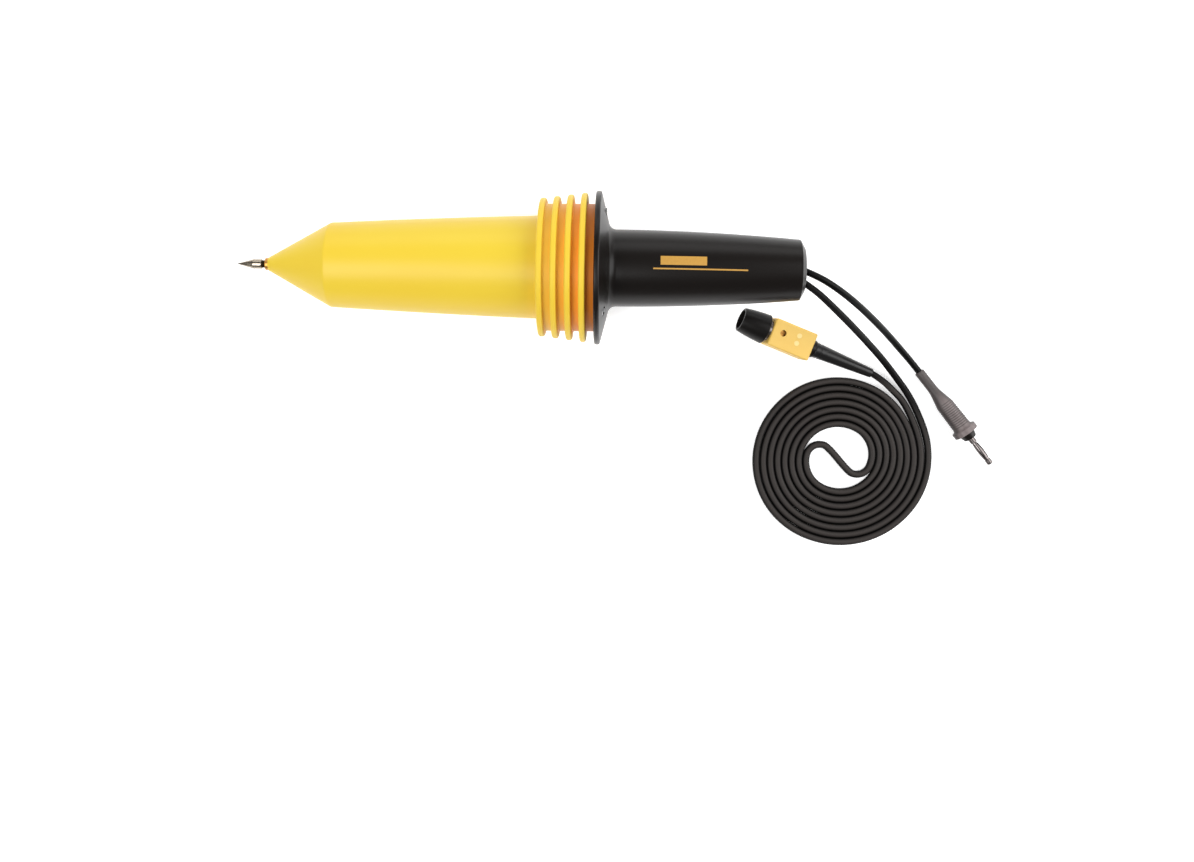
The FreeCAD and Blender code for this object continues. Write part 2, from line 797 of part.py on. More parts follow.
def make_box():
    """The compensation box: base, lid, board, trimmer, plugs and screws."""
    y_limits = (-box_half_width, box_half_width)
    outside = block((box_at, box_end), y_limits, (-box_half_height, box_half_height))
    outside = outside.makeFillet(box_round, outside.Edges)
    inner_x = (box_at + box_wall, box_end - box_wall)
    inner_y = (-box_half_width + box_wall, box_half_width - box_wall)
    floor = -box_half_height + box_lid_wall
    ceiling = box_half_height - box_lid_wall
    shell = outside.cut(block(inner_x, inner_y, (floor, ceiling)))
    shell = shell.cut(rod(box_at - 1, box_at + box_wall + 1, body_thread_radius + slip_gap / 2))
    shell = shell.fuse(rod(box_end - box_wall, box_end + boot_nut_length - boot_nut_lip, gland_radius))
    shell = shell.cut(rod(box_end - box_wall, box_end + boot_nut_length, boot_spigot_radius + slip_gap / 2))
    margin = 1.0
    seam_z = (box_split_height - box_seam_width / 2, box_split_height + box_seam_width / 2)
    seam = block((box_at, box_end), y_limits, seam_z)
    seam_core_x = (box_at + box_seam_depth, box_end - box_seam_depth)
    seam_core_y = (y_limits[0] + box_seam_depth, y_limits[1] - box_seam_depth)
    shell = shell.cut(seam.cut(block(seam_core_x, seam_core_y, seam_z)))
    upper = block(
        (box_at - margin, box_end),
        (-box_half_width - margin, box_half_width + margin),
        (box_split_height, box_half_height + margin),
    )
    base, lid = shell.cut(upper), shell.common(upper)
    board_bottom = comp_board_top - comp_board_thickness
    board_x = (inner_x[0] + bnc_nut_thickness + 0.6, inner_x[1] - 2 * box_post_inset - 1.0)
    for x in (board_x[0] + 1.5, board_x[1] - 3.5):
        base = base.fuse(block((x, x + 2), inner_y, (floor - 0.2, board_bottom)))
    port_x = box_at + trimmer_along
    lid = lid.cut(post(port_x, trimmer_aside, (ceiling - 1, box_half_height + 1), trimmer_port_radius))
    plugs, screws = [], []
    for y in port_plug_aside:
        x = box_at + port_plug_along
        seat = (box_half_height - port_plug_depth, box_half_height + 1)
        lid = lid.cut(post(x, y, seat, port_plug_radius + slip_gap / 2))
        plugs.append(post(x, y, (seat[0], box_half_height), port_plug_radius))
    post_x = inner_x[1] - box_post_inset
    for y in (-box_post_aside, box_post_aside):
        lid = lid.fuse(post(post_x, y, (floor, ceiling + 0.5), box_post_radius))
        lid = lid.cut(post(post_x, y, (floor, box_split_height), box_screw_radius + slip_gap / 2))
        head_top = -box_half_height + box_screw_head_height
        base = base.cut(post(post_x, y, (-box_half_height, head_top), box_screw_head_radius + slip_gap))
        base = base.cut(post(post_x, y, (head_top, floor), box_screw_radius + slip_gap))
        head = post(post_x, y, (-box_half_height, head_top), box_screw_head_radius)
        screws.append(head.fuse(post(post_x, y, (head_top, 0), box_screw_radius)).removeSplitter())
    nodes["comp_box_base"] = base.removeSplitter()
    nodes["comp_box_lid"] = lid.removeSplitter()
    nodes["box_port_plugs"] = Part.makeCompound(plugs)
    nodes["comp_box_screws"] = Part.makeCompound(screws)
    board_y = (inner_y[0] + slip_gap, inner_y[1] - slip_gap)
    nodes["comp_board"] = block(board_x, board_y, (board_bottom, comp_board_top))
    body = post(port_x, trimmer_aside, (comp_board_top, trimmer_body_top), trimmer_body_radius)
    pivot = (trimmer_body_top - trimmer_pivot_length, trimmer_body_top)
    nodes["trimmer_body"] = body.cut(
        post(port_x, trimmer_aside, pivot, trimmer_pivot_radius + running_gap / 2)
    )
    rotor_top = trimmer_body_top + trimmer_rotor_height
    rotor = post(port_x, trimmer_aside, (trimmer_body_top, rotor_top), trimmer_rotor_radius)
    pivot_bar = post(port_x, trimmer_aside, (pivot[0] + 0.3, pivot[1]), trimmer_pivot_radius)
    slot = block(
        (port_x - trimmer_rotor_radius, port_x + trimmer_rotor_radius),
        (trimmer_aside - 0.3, trimmer_aside + 0.3),
        (rotor_top - 0.7, rotor_top),
    )
    nodes["trimmer_rotor"] = rotor.fuse(pivot_bar).cut(slot).removeSplitter()
    parts = parts_on(comp_board_blocks, comp_board_cans, port_x + trimmer_body_radius, comp_board_top)
    nodes["comp_board_parts"] = Part.makeCompound(parts)


def make_boot():
    """The strain relief with its nut, and the cable end inside it."""
    nut_end = box_end + boot_nut_length
    boot_end = box_end + boot_nut_length + boot_length
    bore = cable_radius + slip_gap / 2
    spigot_bore = boot_spigot_radius + slip_gap / 2
    gland_end = nut_end - boot_nut_lip
    boot = turned([
        (box_end - box_wall, bore),
        (box_end - box_wall, boot_spigot_radius),
        (nut_end, boot_spigot_radius),
        (nut_end, boot_front_radius, 0.5),
        (boot_end, boot_rear_radius, 0.5),
        (boot_end, bore),
    ])
    groove_floor = boot_front_radius - boot_groove_depth
    groove = ring(nut_end + boot_groove[0], nut_end + boot_groove[1], boot_nut_radius, groove_floor)
    nodes["strain_relief_boot"] = boot.cut(groove)
    nodes["boot_nut"] = turned([
        (box_end, gland_radius + slip_gap / 2),
        (box_end, boot_nut_radius, 0.5),
        (nut_end, boot_nut_radius, 0.5),
        (nut_end, spigot_bore),
        (gland_end, spigot_bore),
        (gland_end, gland_radius + slip_gap / 2),
    ])
    nodes["box_tail"] = rod(box_end - box_wall - 1.5, boot_end, cable_radius)
    return boot_end


def make_ground_plug():
    """The ground plug: ribbed grip, insulator, pin with its leaf spring, and the lead's end inside."""
    bore = cable_radius + slip_gap / 2
    stem_bore = plug_stem_radius + slip_gap / 2
    flange_back = grip_length - grip_flange_thickness
    grip = turned([
        (0, bore),
        (0, grip_tail_radius, grip_edge_round),
        (grip_tail_length, grip_tail_radius, 20.0),
        (grip_swell_at, grip_swell_radius, 12.0),
        (flange_back, grip_front_radius, 1.5),
        (flange_back, grip_flange_radius, grip_edge_round),
        (grip_length, grip_flange_radius, grip_edge_round),
        (grip_length, stem_bore),
        (grip_lead_depth, stem_bore),
        (grip_lead_depth, bore),
    ])
    last_rib = flange_back - 2.5
    side = ((grip_swell_at, grip_swell_radius), (flange_back, grip_front_radius))
    grooves = []
    for i in range(grip_rib_count):
        x = last_rib - i * grip_rib_pitch
        floor = between(x, *side) - grip_rib_depth
        grooves.append(ring(x - grip_rib_pitch / 4, x + grip_rib_pitch / 4, grip_flange_radius, floor))
    nodes["ground_plug_grip"] = grip.cut(Part.makeCompound(grooves))
    insulator_end = grip_length + plug_insulator_length
    nodes["ground_plug_insulator"] = turned([
        (grip_length, stem_bore),
        (grip_length, plug_insulator_radii[0]),
        (insulator_end, plug_insulator_radii[1], 0.8),
        (insulator_end, stem_bore),
    ])
    pin_end = insulator_end + plug_pin_length
    collar_end = insulator_end + plug_pin_collar
    nose_start = pin_end - plug_nose_length
    nodes["ground_plug_pin"] = turned([
        (grip_lead_depth, 0),
        (grip_lead_depth, plug_stem_radius),
        (insulator_end, plug_stem_radius),
        (insulator_end, plug_pin_radius),
        (collar_end, plug_pin_radius),
        (collar_end, plug_core_radius),
        (nose_start, plug_core_radius),
        (nose_start, plug_nose_radius),
        (pin_end, plug_nose_radius, 0.9),
        (pin_end, 0),
    ])
    leaf = (collar_end, nose_start)
    middle = (leaf[0] + leaf[1]) / 2
    end_outer = plug_core_radius + slip_gap + plug_leaf_sheet
    end_inner = plug_core_radius + slip_gap
    cage = turned([
        (leaf[0], end_inner),
        (leaf[0], end_outer),
        ("bow", middle, plug_pin_radius),
        (leaf[1], end_outer),
        (leaf[1], end_inner),
        ("bow", middle, plug_pin_radius - plug_leaf_sheet),
    ])
    for i in range(plug_leaf_count):
        half = plug_leaf_slot / 2
        slot = block((leaf[0] + 1.2, leaf[1] - 1.2), (-half, half), (0, plug_pin_radius + 1))
        cage = cage.cut(turn_about_axis(slot, 360 * (i + 0.5) / plug_leaf_count))
    nodes["ground_plug_spring"] = cage
    nodes["plug_lead_end"] = rod(0, grip_lead_depth, cable_radius)


def arm_piece(quarter, is_outer):
    """Centre and radius of one quarter turn of the coil, counted from the inner arm's first."""
    grow = ((coil_pitch + coil_oval) / 2, (coil_pitch - coil_oval) / 2)
    centre = Vector(coil_centre[0] + coil_shift[0], coil_centre[1] + coil_shift[1], cable_radius)
    radius = coil_first_radius
    for i in range(quarter):
        angle = math.radians(coil_quarter_angle + 90 * (i + 1))
        centre = centre - Vector(math.cos(angle), math.sin(angle), 0) * grow[i % 2]
        radius += grow[i % 2]
    return centre, radius - (coil_pitch if is_outer else 0)


def on_circle(centre, radius, angle):
    """The point at an angle on a level circle."""
    turn = math.radians(angle)
    return centre + Vector(math.cos(turn), math.sin(turn), 0) * radius


def arm_arcs(start, end, is_outer):
    """The arcs of one arm from the inside out, as (centre, radius, start angle, end angle)."""
    arcs, here = [], start
    while here < end - 1e-6:
        quarter = int((here - coil_quarter_angle + 1e-6) // 90)
        stop = min(coil_quarter_angle + 90 * (quarter + 1), end)
        centre, radius = arm_piece(quarter, is_outer)
        arcs.append((centre, radius, here, stop))
        here = stop
    return arcs


def arm_direction(angle):
    """The way an arm runs outward at an angle."""
    turn = math.radians(angle)
    return Vector(-math.sin(turn), math.cos(turn), 0)


def s_bends(outer, inner):
    """The two arcs of the S that joins the arms, in along the outer and out along the inner one."""
    centres = []
    for centre, radius, start, _ in (outer[0], inner[0]):
        centres.append(on_circle(centre, radius - coil_bend_radius, start))
    gap = centres[1] - centres[0]
    line_angle = math.degrees(math.atan2(gap.y, gap.x))
    leave = line_angle + 90 - math.degrees(math.asin(2 * coil_bend_radius / gap.Length))
    first_start, last_stop = outer[0][2], inner[0][2]
    leave -= 360 * math.ceil((leave - first_start) / 360)
    enter = leave + 180
    enter -= 360 * math.ceil((enter - last_stop) / 360)
    return (
        (centres[0], coil_bend_radius, first_start, leave),
        (centres[1], coil_bend_radius, enter, last_stop),
    )


def make_coil():
    """The double-wound coil: in along the outer arm, an S in the middle, out along the inner arm.
    Gives its length, both tips and the ways the cable leaves them."""
    inner = arm_arcs(inner_arm_start, inner_arm_end + 360 * inner_arm_turns, False)
    outer = arm_arcs(outer_arm_start, outer_arm_end + 360 * outer_arm_turns, True)
    arcs = [(c, r, stop, start) for c, r, start, stop in reversed(outer)]
    arcs += [*s_bends(outer, inner), *inner]
    headings = [arm_direction(arm[-1][3]) for arm in (outer, inner)]
    ends = [on_circle(arm[-1][0], arm[-1][1], arm[-1][3]) for arm in (outer, inner)]
    tips = [end + heading * 2 * cable_radius for end, heading in zip(ends, headings)]
    edges, samples, here = [], [], tips[0]
    for centre, radius, start, stop in arcs:
        enter = on_circle(centre, radius, start)
        if (enter - here).Length > 1e-4:
            edges.append(Part.LineSegment(here, enter).toShape())
            samples += [here + (enter - here) * (i / 8) for i in range(8)]
        leave = on_circle(centre, radius, stop)
        edges.append(Part.Arc(enter, on_circle(centre, radius, (start + stop) / 2), leave).toShape())
        count = max(2, round(abs(stop - start) / 4))
        samples += [on_circle(centre, radius, start + (stop - start) * i / count) for i in range(count)]
        here = leave
    edges.append(Part.LineSegment(here, tips[1]).toShape())
    wire = Part.Wire(edges)
    solid = swept(wire, tips[0], headings[0])
    ratio = solid.Volume / (math.pi * cable_radius**2 * wire.Length)
    print(f"signal_coil: length {wire.Length:.1f}, volume ratio {ratio:.4f}")
    print(f"signal_coil: least gap to itself {least_gap(samples):.2f}")
    nodes["signal_coil"] = solid
    return wire.Length, tips, headings


def least_gap(points):
    """The least gap between stretches of the coil that lie side by side."""
    along = [0.0]
    for a, b in zip(points, points[1:]):
        along.append(along[-1] + (b - a).Length)
    apart = 8 * cable_radius
    least = min(
        points[i].distanceToPoint(points[j])
        for i in range(len(points))
        for j in range(i + 1, len(points))
        if along[j] - along[i] > apart
    )
    return least - 2 * cable_radius


def rest_angle(first, second):
    """How far an axis leans when it rests on two rounded edges, each (x, radius, rounding)."""
    (x1, r1, round1), (x2, r2, round2) = first, second
    along = x2 - x1
    across = (r2 - round2) - (r1 - round1)
    return math.degrees(
        math.atan2(across, along) + math.asin((round2 - round1) / math.hypot(along, across))
    )


def shoulder_rest():
    """Centre and rounding of the barrel's shoulder."""
    chord = math.atan2(barrel_rear_radius - shoulder_radius, barrel_length)
    bow_angle = math.atan2(4 * barrel_bow, barrel_length)
    cone = math.radians(cone_half_angle)
    open_half = (math.pi - (cone - chord - bow_angle)) / 2
    reach = shoulder_round / math.sin(open_half)
    middle = (cone + chord + bow_angle) / 2
    x = shoulder_at + reach * math.sin(middle)
    return x, shoulder_radius - reach * math.cos(middle) + shoulder_round, shoulder_round


def settled(names, heading, pitch, place):
    """Where an assembly stands: turned, leant and set down on the bench."""
    turn = Rotation(Z_AXIS, heading).multiply(Rotation(Vector(0, 1, 0), -pitch))
    leant = Placement(Vector(), turn).toMatrix()
    low = Part.makeCompound([nodes[n] for n in names]).transformed(leant).optimalBoundingBox()
    return Placement(Vector(place[0], place[1], -low.ZMin), turn), low


make_needle()
make_barrel()
make_divider()
make_collar()
make_handle()
make_end_cap()
make_board()

rolled = [
    "handle_shell", "flange_screws", "end_cap", "signal_tail", "ground_tail", "divider_board", "board_screws",
    "cable_clamp", "clamp_screws", "lead_terminals", "board_parts", "guard_collar", "output_lead",
]
for name in rolled:
    nodes[name] = turn_about_axis(nodes[name], -handle_roll)

rim = (flange_at + flange_front_round, flange_radius, flange_front_round)
tilt = rest_angle(shoulder_rest(), rim)
to_bench, extent = settled(("probe_tip", "barrel_shell", "handle_shell", "end_cap"), 0, tilt, (0, 0))
to_bench.Base.x = -extent.Center.x
for name in list(nodes):
    nodes[name] = nodes[name].transformed(to_bench.toMatrix())
in_handle = to_bench.multiply(Placement(Vector(), Rotation(X_AXIS, -handle_roll)))
print(f"tilt {tilt:.3f}, probe body {extent.XLength:.2f} x {extent.YLength:.2f} x {extent.ZLength:.2f}")

probe_nodes = set(nodes)
make_bayonet()
make_box()
boot_end = make_boot()
box_edge = (box_end - box_round, box_half_height, box_round)
shroud_edge = (shroud_length - shroud_round, shroud_rear_radius, shroud_round)
connector_nodes = set(nodes) - probe_nodes
on_connector, _ = settled(
    ("bnc_shroud", "comp_box_base"), connector_heading, rest_angle(shroud_edge, box_edge), connector_mouth
)
for name in connector_nodes:
    nodes[name] = nodes[name].transformed(on_connector.toMatrix())

make_ground_plug()
flange_back = grip_length - grip_flange_thickness
tail_edge = (grip_edge_round, grip_tail_radius, grip_edge_round)
flange_edge = (flange_back + grip_edge_round, grip_flange_radius, grip_edge_round)
on_plug, _ = settled(("ground_plug_grip",), plug_heading, rest_angle(tail_edge, flange_edge), plug_tail)
for name in set(nodes) - probe_nodes - connector_nodes:
    nodes[name] = nodes[name].transformed(on_plug.toMatrix())

coil_length, (outer_tip, inner_tip), (outer_heading, inner_heading) = make_coil()

free = {}
for which in ("signal", "ground"):
    start, bend, joint, mouth = lead_points(which)
    first = in_handle.multVec(joint)
    along = (in_handle.multVec(mouth) - first).normalize()
    free[which] = (first, first + along * handle_straight)
    print(f"{which} mouth {tuple(round(v, 2) for v in in_handle.multVec(mouth))}")
outer_ahead = outer_tip + outer_heading * coil_straight["out"]
inner_ahead = inner_tip + inner_heading * coil_straight["in"]
signal_out = [*free["signal"], *[Vector(*p) for p in signal_out_route], outer_ahead, outer_tip]
boot_mouth = on_connector.multVec(Vector(boot_end, 0, 0))
boot_back = on_connector.multVec(Vector(boot_end + boot_straight, 0, 0))
signal_in = [inner_tip, inner_ahead, *[Vector(*p) for p in signal_in_route], boot_back, boot_mouth]
plug_mouth = on_plug.multVec(Vector())
plug_back = on_plug.multVec(Vector(-plug_straight, 0, 0))
ground = [*free["ground"], *[Vector(*p) for p in ground_route], plug_back, plug_mouth]
lengths = {
    "signal_lead_out": cable("signal_lead_out", signal_out),
    "signal_lead_in": cable("signal_lead_in", signal_in),
}
print(f"signal lead in all {sum(lengths.values()) + coil_length:.1f}")
cable("ground_lead", ground)
for name, points in (("signal_lead_out", signal_out), ("signal_lead_in", signal_in), ("ground_lead", ground)):
    print(name, [tuple(round(v, 1) for v in p) for p in points])

places = {
    "mouth": on_connector.multVec(Vector()),
    "coupling": on_connector.multVec(Vector(mouth_length, 0, 0)),
    "trimmer": on_connector.multVec(Vector(box_at + trimmer_along, trimmer_aside, trimmer_body_top)),
    "pin": on_plug.multVec(Vector(grip_length + plug_insulator_length + plug_pin_collar / 2, 0, 0)),
    "tip": to_bench.multVec(Vector()),
}
for name, point in places.items():
    print(f"{name} at {tuple(round(v, 3) for v in point)}")
for name, turn, axis in (
    ("mouth axis", on_connector.Rotation, Vector(-1, 0, 0)),
    ("trimmer axis", on_connector.Rotation, Z_AXIS),
    ("pin axis", on_plug.Rotation, X_AXIS),
    ("tip axis", to_bench.Rotation, Vector(-1, 0, 0)),
):
    print(f"{name} {tuple(round(v, 6) for v in turn.multVec(axis))}")

os.makedirs("parts", exist_ok=True)
for name, shape in sorted(nodes.items()):
    if not shape.isValid():
        print("invalid", name)
    box = shape.optimalBoundingBox()
    if box.ZMin < -0.01:
        print("below the bench", name, round(box.ZMin, 3))
    shape.exportStep(os.path.join("parts", name + ".step"))
print(len(nodes), "nodes")
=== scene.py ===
"""The dressed high-voltage oscilloscope probe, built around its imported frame.

Metres, in the frame's own axes: +X from the needle to the cable end, +Y to the left of it, +Z up.
"""

import json
import logging
import math
from dataclasses import dataclass, field
from enum import Enum

import bmesh
import bpy
from mathutils import Euler, Matrix, Vector
from mathutils.bvhtree import BVHTree


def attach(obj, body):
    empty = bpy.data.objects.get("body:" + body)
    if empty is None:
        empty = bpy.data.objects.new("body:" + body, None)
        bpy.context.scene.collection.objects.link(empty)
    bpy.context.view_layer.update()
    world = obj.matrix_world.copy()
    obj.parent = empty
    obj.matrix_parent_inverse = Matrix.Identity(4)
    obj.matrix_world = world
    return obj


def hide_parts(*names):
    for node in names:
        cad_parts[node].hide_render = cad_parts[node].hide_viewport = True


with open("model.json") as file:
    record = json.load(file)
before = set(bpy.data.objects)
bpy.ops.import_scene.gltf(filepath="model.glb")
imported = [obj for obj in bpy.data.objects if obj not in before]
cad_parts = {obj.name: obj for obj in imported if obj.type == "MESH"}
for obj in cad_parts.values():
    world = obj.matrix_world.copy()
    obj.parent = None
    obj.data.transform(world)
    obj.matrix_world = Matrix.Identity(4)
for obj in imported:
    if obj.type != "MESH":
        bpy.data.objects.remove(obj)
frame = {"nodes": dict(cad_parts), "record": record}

MM = 0.001
PROBE = "probe"
WAVE_CYCLE = math.pi / 10  # a wave texture of this scale has one band to each metre
NOISE_LOW, NOISE_HIGH = 0.3, 0.7  # a noise's values mostly lie between these
log = logging.getLogger("scene")

Tree = bpy.types.NodeTree
Socket = bpy.types.NodeSocket
Triple = tuple[float, float, float]

COIL_CENTRE = (202.2, -113.5)  # the middle of the coiled lead on the bench, in millimetres


def linear(code: str) -> tuple[float, float, float, float]:
    """Turns an sRGB hex colour into the linear values that a shader takes.

    Args:
        code: six hex digits, with or without a leading hash.

    Returns:
        Red, green and blue in linear light, and an alpha of one.
    """
    channels = [int(code.lstrip("#")[i:i + 2], 16) / 255 for i in (0, 2, 4)]
    straight = [c / 12.92 if c <= 0.04045 else ((c + 0.055) / 1.055) ** 2.4 for c in channels]
    return (straight[0], straight[1], straight[2], 1.0)


def fill(tree: Tree, node: bpy.types.Node, inputs: dict[str | int, object]) -> None:
    """Gives a node's inputs their values and links.

    Args:
        tree: the node's tree.
        node: the node.
        inputs: a value or an output socket for each input, by name or number.
    """
    for key, value in inputs.items():
        if isinstance(value, Socket):
            tree.links.new(value, node.inputs[key])
        else:
            node.inputs[key].default_value = value


def add_node(
    tree: Tree, kind: str, inputs: dict[str | int, object] | None = None, **settings: object,
) -> bpy.types.Node:
    """Adds a node with its settings, its values and its links.

    Args:
        tree: the tree that gets the node.
        kind: the node's type name.
        inputs: a value or an output socket for each input, by name or number.
        **settings: the node's own properties.

    Returns:
        The new node.
    """
    node = tree.nodes.new(kind)
    for name, value in settings.items():
        setattr(node, name, value)
    fill(tree, node, inputs or {})
    return node


def put(name: str, data: bpy.types.ID) -> bpy.types.Object:
    """Puts a new object with this data into the scene, at the origin."""
    thing = bpy.data.objects.new(name, data)
    bpy.context.scene.collection.objects.link(thing)
    return thing


def blank_material(name: str) -> tuple[bpy.types.Material, Tree, bpy.types.Node]:
    """Starts a material.

    Args:
        name: the material's name.

    Returns:
        The material, its node tree and the shader in it.
    """
    material = bpy.data.materials.new(name)
    material.use_nodes = True
    return material, material.node_tree, material.node_tree.nodes["Principled BSDF"]


def open_tree(name: str, inputs: dict[str, str]) -> tuple[Tree, bpy.types.NodeOutputs]:
    """Starts a geometry tree with named inputs.

    Args:
        name: the tree's name.
        inputs: the kind of each input, by its name.

    Returns:
        The tree, and its inputs as they are read inside it.
    """
    tree = bpy.data.node_groups.new(name, "GeometryNodeTree")
    for label, kind in inputs.items():
        tree.interface.new_socket(label, in_out="INPUT", socket_type="NodeSocket" + kind)
    tree.interface.new_socket("Pieces", in_out="OUTPUT", socket_type="NodeSocketGeometry")
    return tree, add_node(tree, "NodeGroupInput").outputs


def close_tree(tree: Tree, geometry: Socket, metal: Socket) -> None:
    """Ends a geometry tree: its instances become real and get their material.

    Args:
        tree: the tree.
        geometry: what the tree has made.
        metal: its material.
    """
    solid = add_node(tree, "GeometryNodeRealizeInstances", {"Geometry": geometry})
    painted = add_node(tree, "GeometryNodeSetMaterial", {"Geometry": solid.outputs[0], "Material": metal})
    add_node(tree, "NodeGroupOutput", {0: painted.outputs[0]})


def grow(name: str, points: list[Vector], tree: Tree, values: dict[str, object]) -> bpy.types.Mesh:
    """Runs a geometry tree and keeps what it makes as a plain mesh.

    Args:
        name: the mesh's name.
        points: the points that the tree starts from, in metres.
        tree: the tree.
        values: the value of each of its inputs, by the input's name.

    Returns:
        The mesh.
    """
    start = bpy.data.meshes.new(name + "_start")
    start.from_pydata([tuple(point) for point in points], [], [])
    carrier = put(name + "_start", start)
    modifier = carrier.modifiers.new("pieces", "NODES")
    modifier.node_group = tree
    for item in tree.interface.items_tree:
        if item.in_out == "INPUT" and item.name in values:
            modifier[item.identifier] = values[item.name]
    evaluated = carrier.evaluated_get(bpy.context.evaluated_depsgraph_get())
    mesh = bpy.data.meshes.new_from_object(evaluated)
    mesh.name = name
    carrier.modifiers.clear()
    bpy.data.objects.remove(carrier)
    return mesh


def per_metre(size_mm: float) -> float:
    """The texture scale at which one cycle of a pattern is this many millimetres long."""
    return 1.0 / (size_mm * MM)


@dataclass(frozen=True)
class Station:
    """A place on the object that its parts are measured from.

    The x axis of the station runs along the part, and its y axis lies level.
    """

    origin: Vector
    along: Vector

    def matrix(self) -> Matrix:
        """The turn and place that carry the station's own coordinates to the frame's."""
        level = Vector((0, 0, 1)).cross(self.along).normalized()
        up = self.along.cross(level)
        turn = Matrix((self.along, level, up)).transposed().to_4x4()
        return Matrix.Translation(self.origin) @ turn

    def euler(self) -> Euler:
        """The turn alone, as a Mapping node needs it to lay a pattern along the part."""
        return self.matrix().inverted().to_euler()

    def offset(self) -> Vector:
        """The shift that, after the turn, puts a pattern's zero at the station."""
        return self.matrix().inverted().to_translation()


class Place(Enum):
    """Where patterns and pieces are measured from, by the mount that marks each place."""

    PROBE = "tip_point"
    CONNECTOR = "bnc_mouth"
    PLUG = "ground_plug"


def stations(record: dict) -> dict[Place, Station]:
    """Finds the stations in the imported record.

    Args:
        record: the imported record.

    Returns:
        The station at each place, which looks from its mount into the part.
    """
    mounts = {mount["name"]: mount for mount in record["mounts"]}
    found = {}
    for place in Place:
        mount = mounts[place.value]
        found[place] = Station(Vector(mount["pos_m"]), -Vector(mount["axis"]).normalized())
    return found


PLACES = stations(frame["record"])


@dataclass(frozen=True)
class Grooves:
    """What shows between a collar's discs: the same plastic, with painted shade and painted orange bounce
    light on the hub, deeper and redder towards the flange.

    The hub's painted colours are given at stations along the part, in millimetres.
    """

    hub_mm: float
    disc_mm: float
    hub_shade: tuple[tuple[float, str], ...]

    def over(self, tree: Tree, where: Socket, colour: Socket) -> Socket:
        """Lays the hub's painted shade and bounce light over a colour.

        Args:
            tree: the material's tree.
            where: the point, measured from the station.
            colour: the colour of the rims.

        Returns:
            The socket with both.
        """
        radial = add_node(tree, "ShaderNodeVectorMath", {0: where, 1: (0.0, 1.0, 1.0)}, operation="MULTIPLY")
        radius = add_node(tree, "ShaderNodeVectorMath", {0: radial.outputs[0]}, operation="LENGTH")
        rim = add_node(
            tree, "ShaderNodeMapRange",
            {"Value": radius.outputs["Value"], "From Min": self.hub_mm * MM, "From Max": self.disc_mm * MM},
            interpolation_type="SMOOTHSTEP",
        )
        first, last = self.hub_shade[0][0], self.hub_shade[-1][0]
        along = add_node(tree, "ShaderNodeSeparateXYZ", {0: where})
        share = add_node(
            tree, "ShaderNodeMapRange",
            {"Value": along.outputs["X"], "From Min": first * MM, "From Max": last * MM},
        )
        # Painted shade and bounce light: the hub darkens and reddens from station to station towards the
        # flange.
        ramp = add_node(tree, "ShaderNodeValToRGB", {"Fac": share.outputs["Result"]})
        stops = ramp.color_ramp.elements
        stops[0].color = linear(self.hub_shade[0][1])
        stops[1].color = linear(self.hub_shade[-1][1])
        for station, code in self.hub_shade[1:-1]:
            stops.new((station - first) / (last - first)).color = linear(code)
        both = add_node(
            tree, "ShaderNodeMix", {0: rim.outputs["Result"], 6: ramp.outputs["Color"], 7: colour},
            data_type="RGBA",
        )
        return both.outputs[2]


@dataclass(frozen=True)
class Ribs:
    """Fine moulded ribs round a grip, with dirt and painted shade between them and painted shade low on the
    grip's sides.
    """

    pitch_mm: float
    first_mm: float
    last_mm: float
    dirt_and_shade: str
    amount: float = 0.6
    edge: float = 0.15
    side_amount: float = 0.75
    side_low_mm: float = 2.6
    side_high_mm: float = 5.4

    def over(self, tree: Tree, where: Socket, colour: Socket) -> Socket:
        """Lays the dirt and painted shade over a colour.

        Args:
            tree: the material's tree.
            where: the point, measured from the station.
            colour: the colour of the grip before its dirt and painted shade.

        Returns:
            The socket with both.
        """
        first = (self.first_mm * MM, 0.0, 0.0)
        shifted = add_node(tree, "ShaderNodeVectorMath", {0: where, 1: first}, operation="SUBTRACT")
        wave = add_node(
            tree, "ShaderNodeTexWave",
            {"Vector": shifted.outputs[0], "Scale": per_metre(self.pitch_mm) * WAVE_CYCLE},
            wave_type="BANDS", bands_direction="X",
        )
        # Dirt and painted shade in the bands between the ribs; the bands run on past the moulded ribs.
        groove = add_node(
            tree, "ShaderNodeMapRange",
            {"Value": wave.outputs["Fac"], "From Min": 0.5 + self.edge, "From Max": 0.5 - self.edge,
             "To Max": self.amount},
            interpolation_type="SMOOTHSTEP",
        )
        along = add_node(tree, "ShaderNodeSeparateXYZ", {0: where})
        inside = add_node(
            tree, "ShaderNodeMath",
            {0: along.outputs["X"], 1: (self.first_mm + self.last_mm) / 2 * MM,
             2: (self.last_mm - self.first_mm + self.pitch_mm) / 2 * MM},
            operation="COMPARE",
        )
        share = add_node(
            tree, "ShaderNodeMath", {0: groove.outputs["Result"], 1: inside.outputs[0]},
            operation="MULTIPLY",
        )
        # Painted shade: the grip darkens low on its sides, away from the light above.
        side = add_node(
            tree, "ShaderNodeMapRange",
            {"Value": along.outputs["Z"], "From Min": self.side_high_mm * MM,
             "From Max": self.side_low_mm * MM, "To Max": self.side_amount},
            interpolation_type="SMOOTHSTEP",
        )
        dirt_and_shade_share = add_node(
            tree, "ShaderNodeMath", {0: share.outputs[0], 1: side.outputs["Result"]}, operation="MAXIMUM",
        )
        both = add_node(
            tree, "ShaderNodeMix", {0: dirt_and_shade_share.outputs[0], 6: colour, 7: linear(self.dirt_and_shade)}, data_type="RGBA",
        )
        return both.outputs[2]


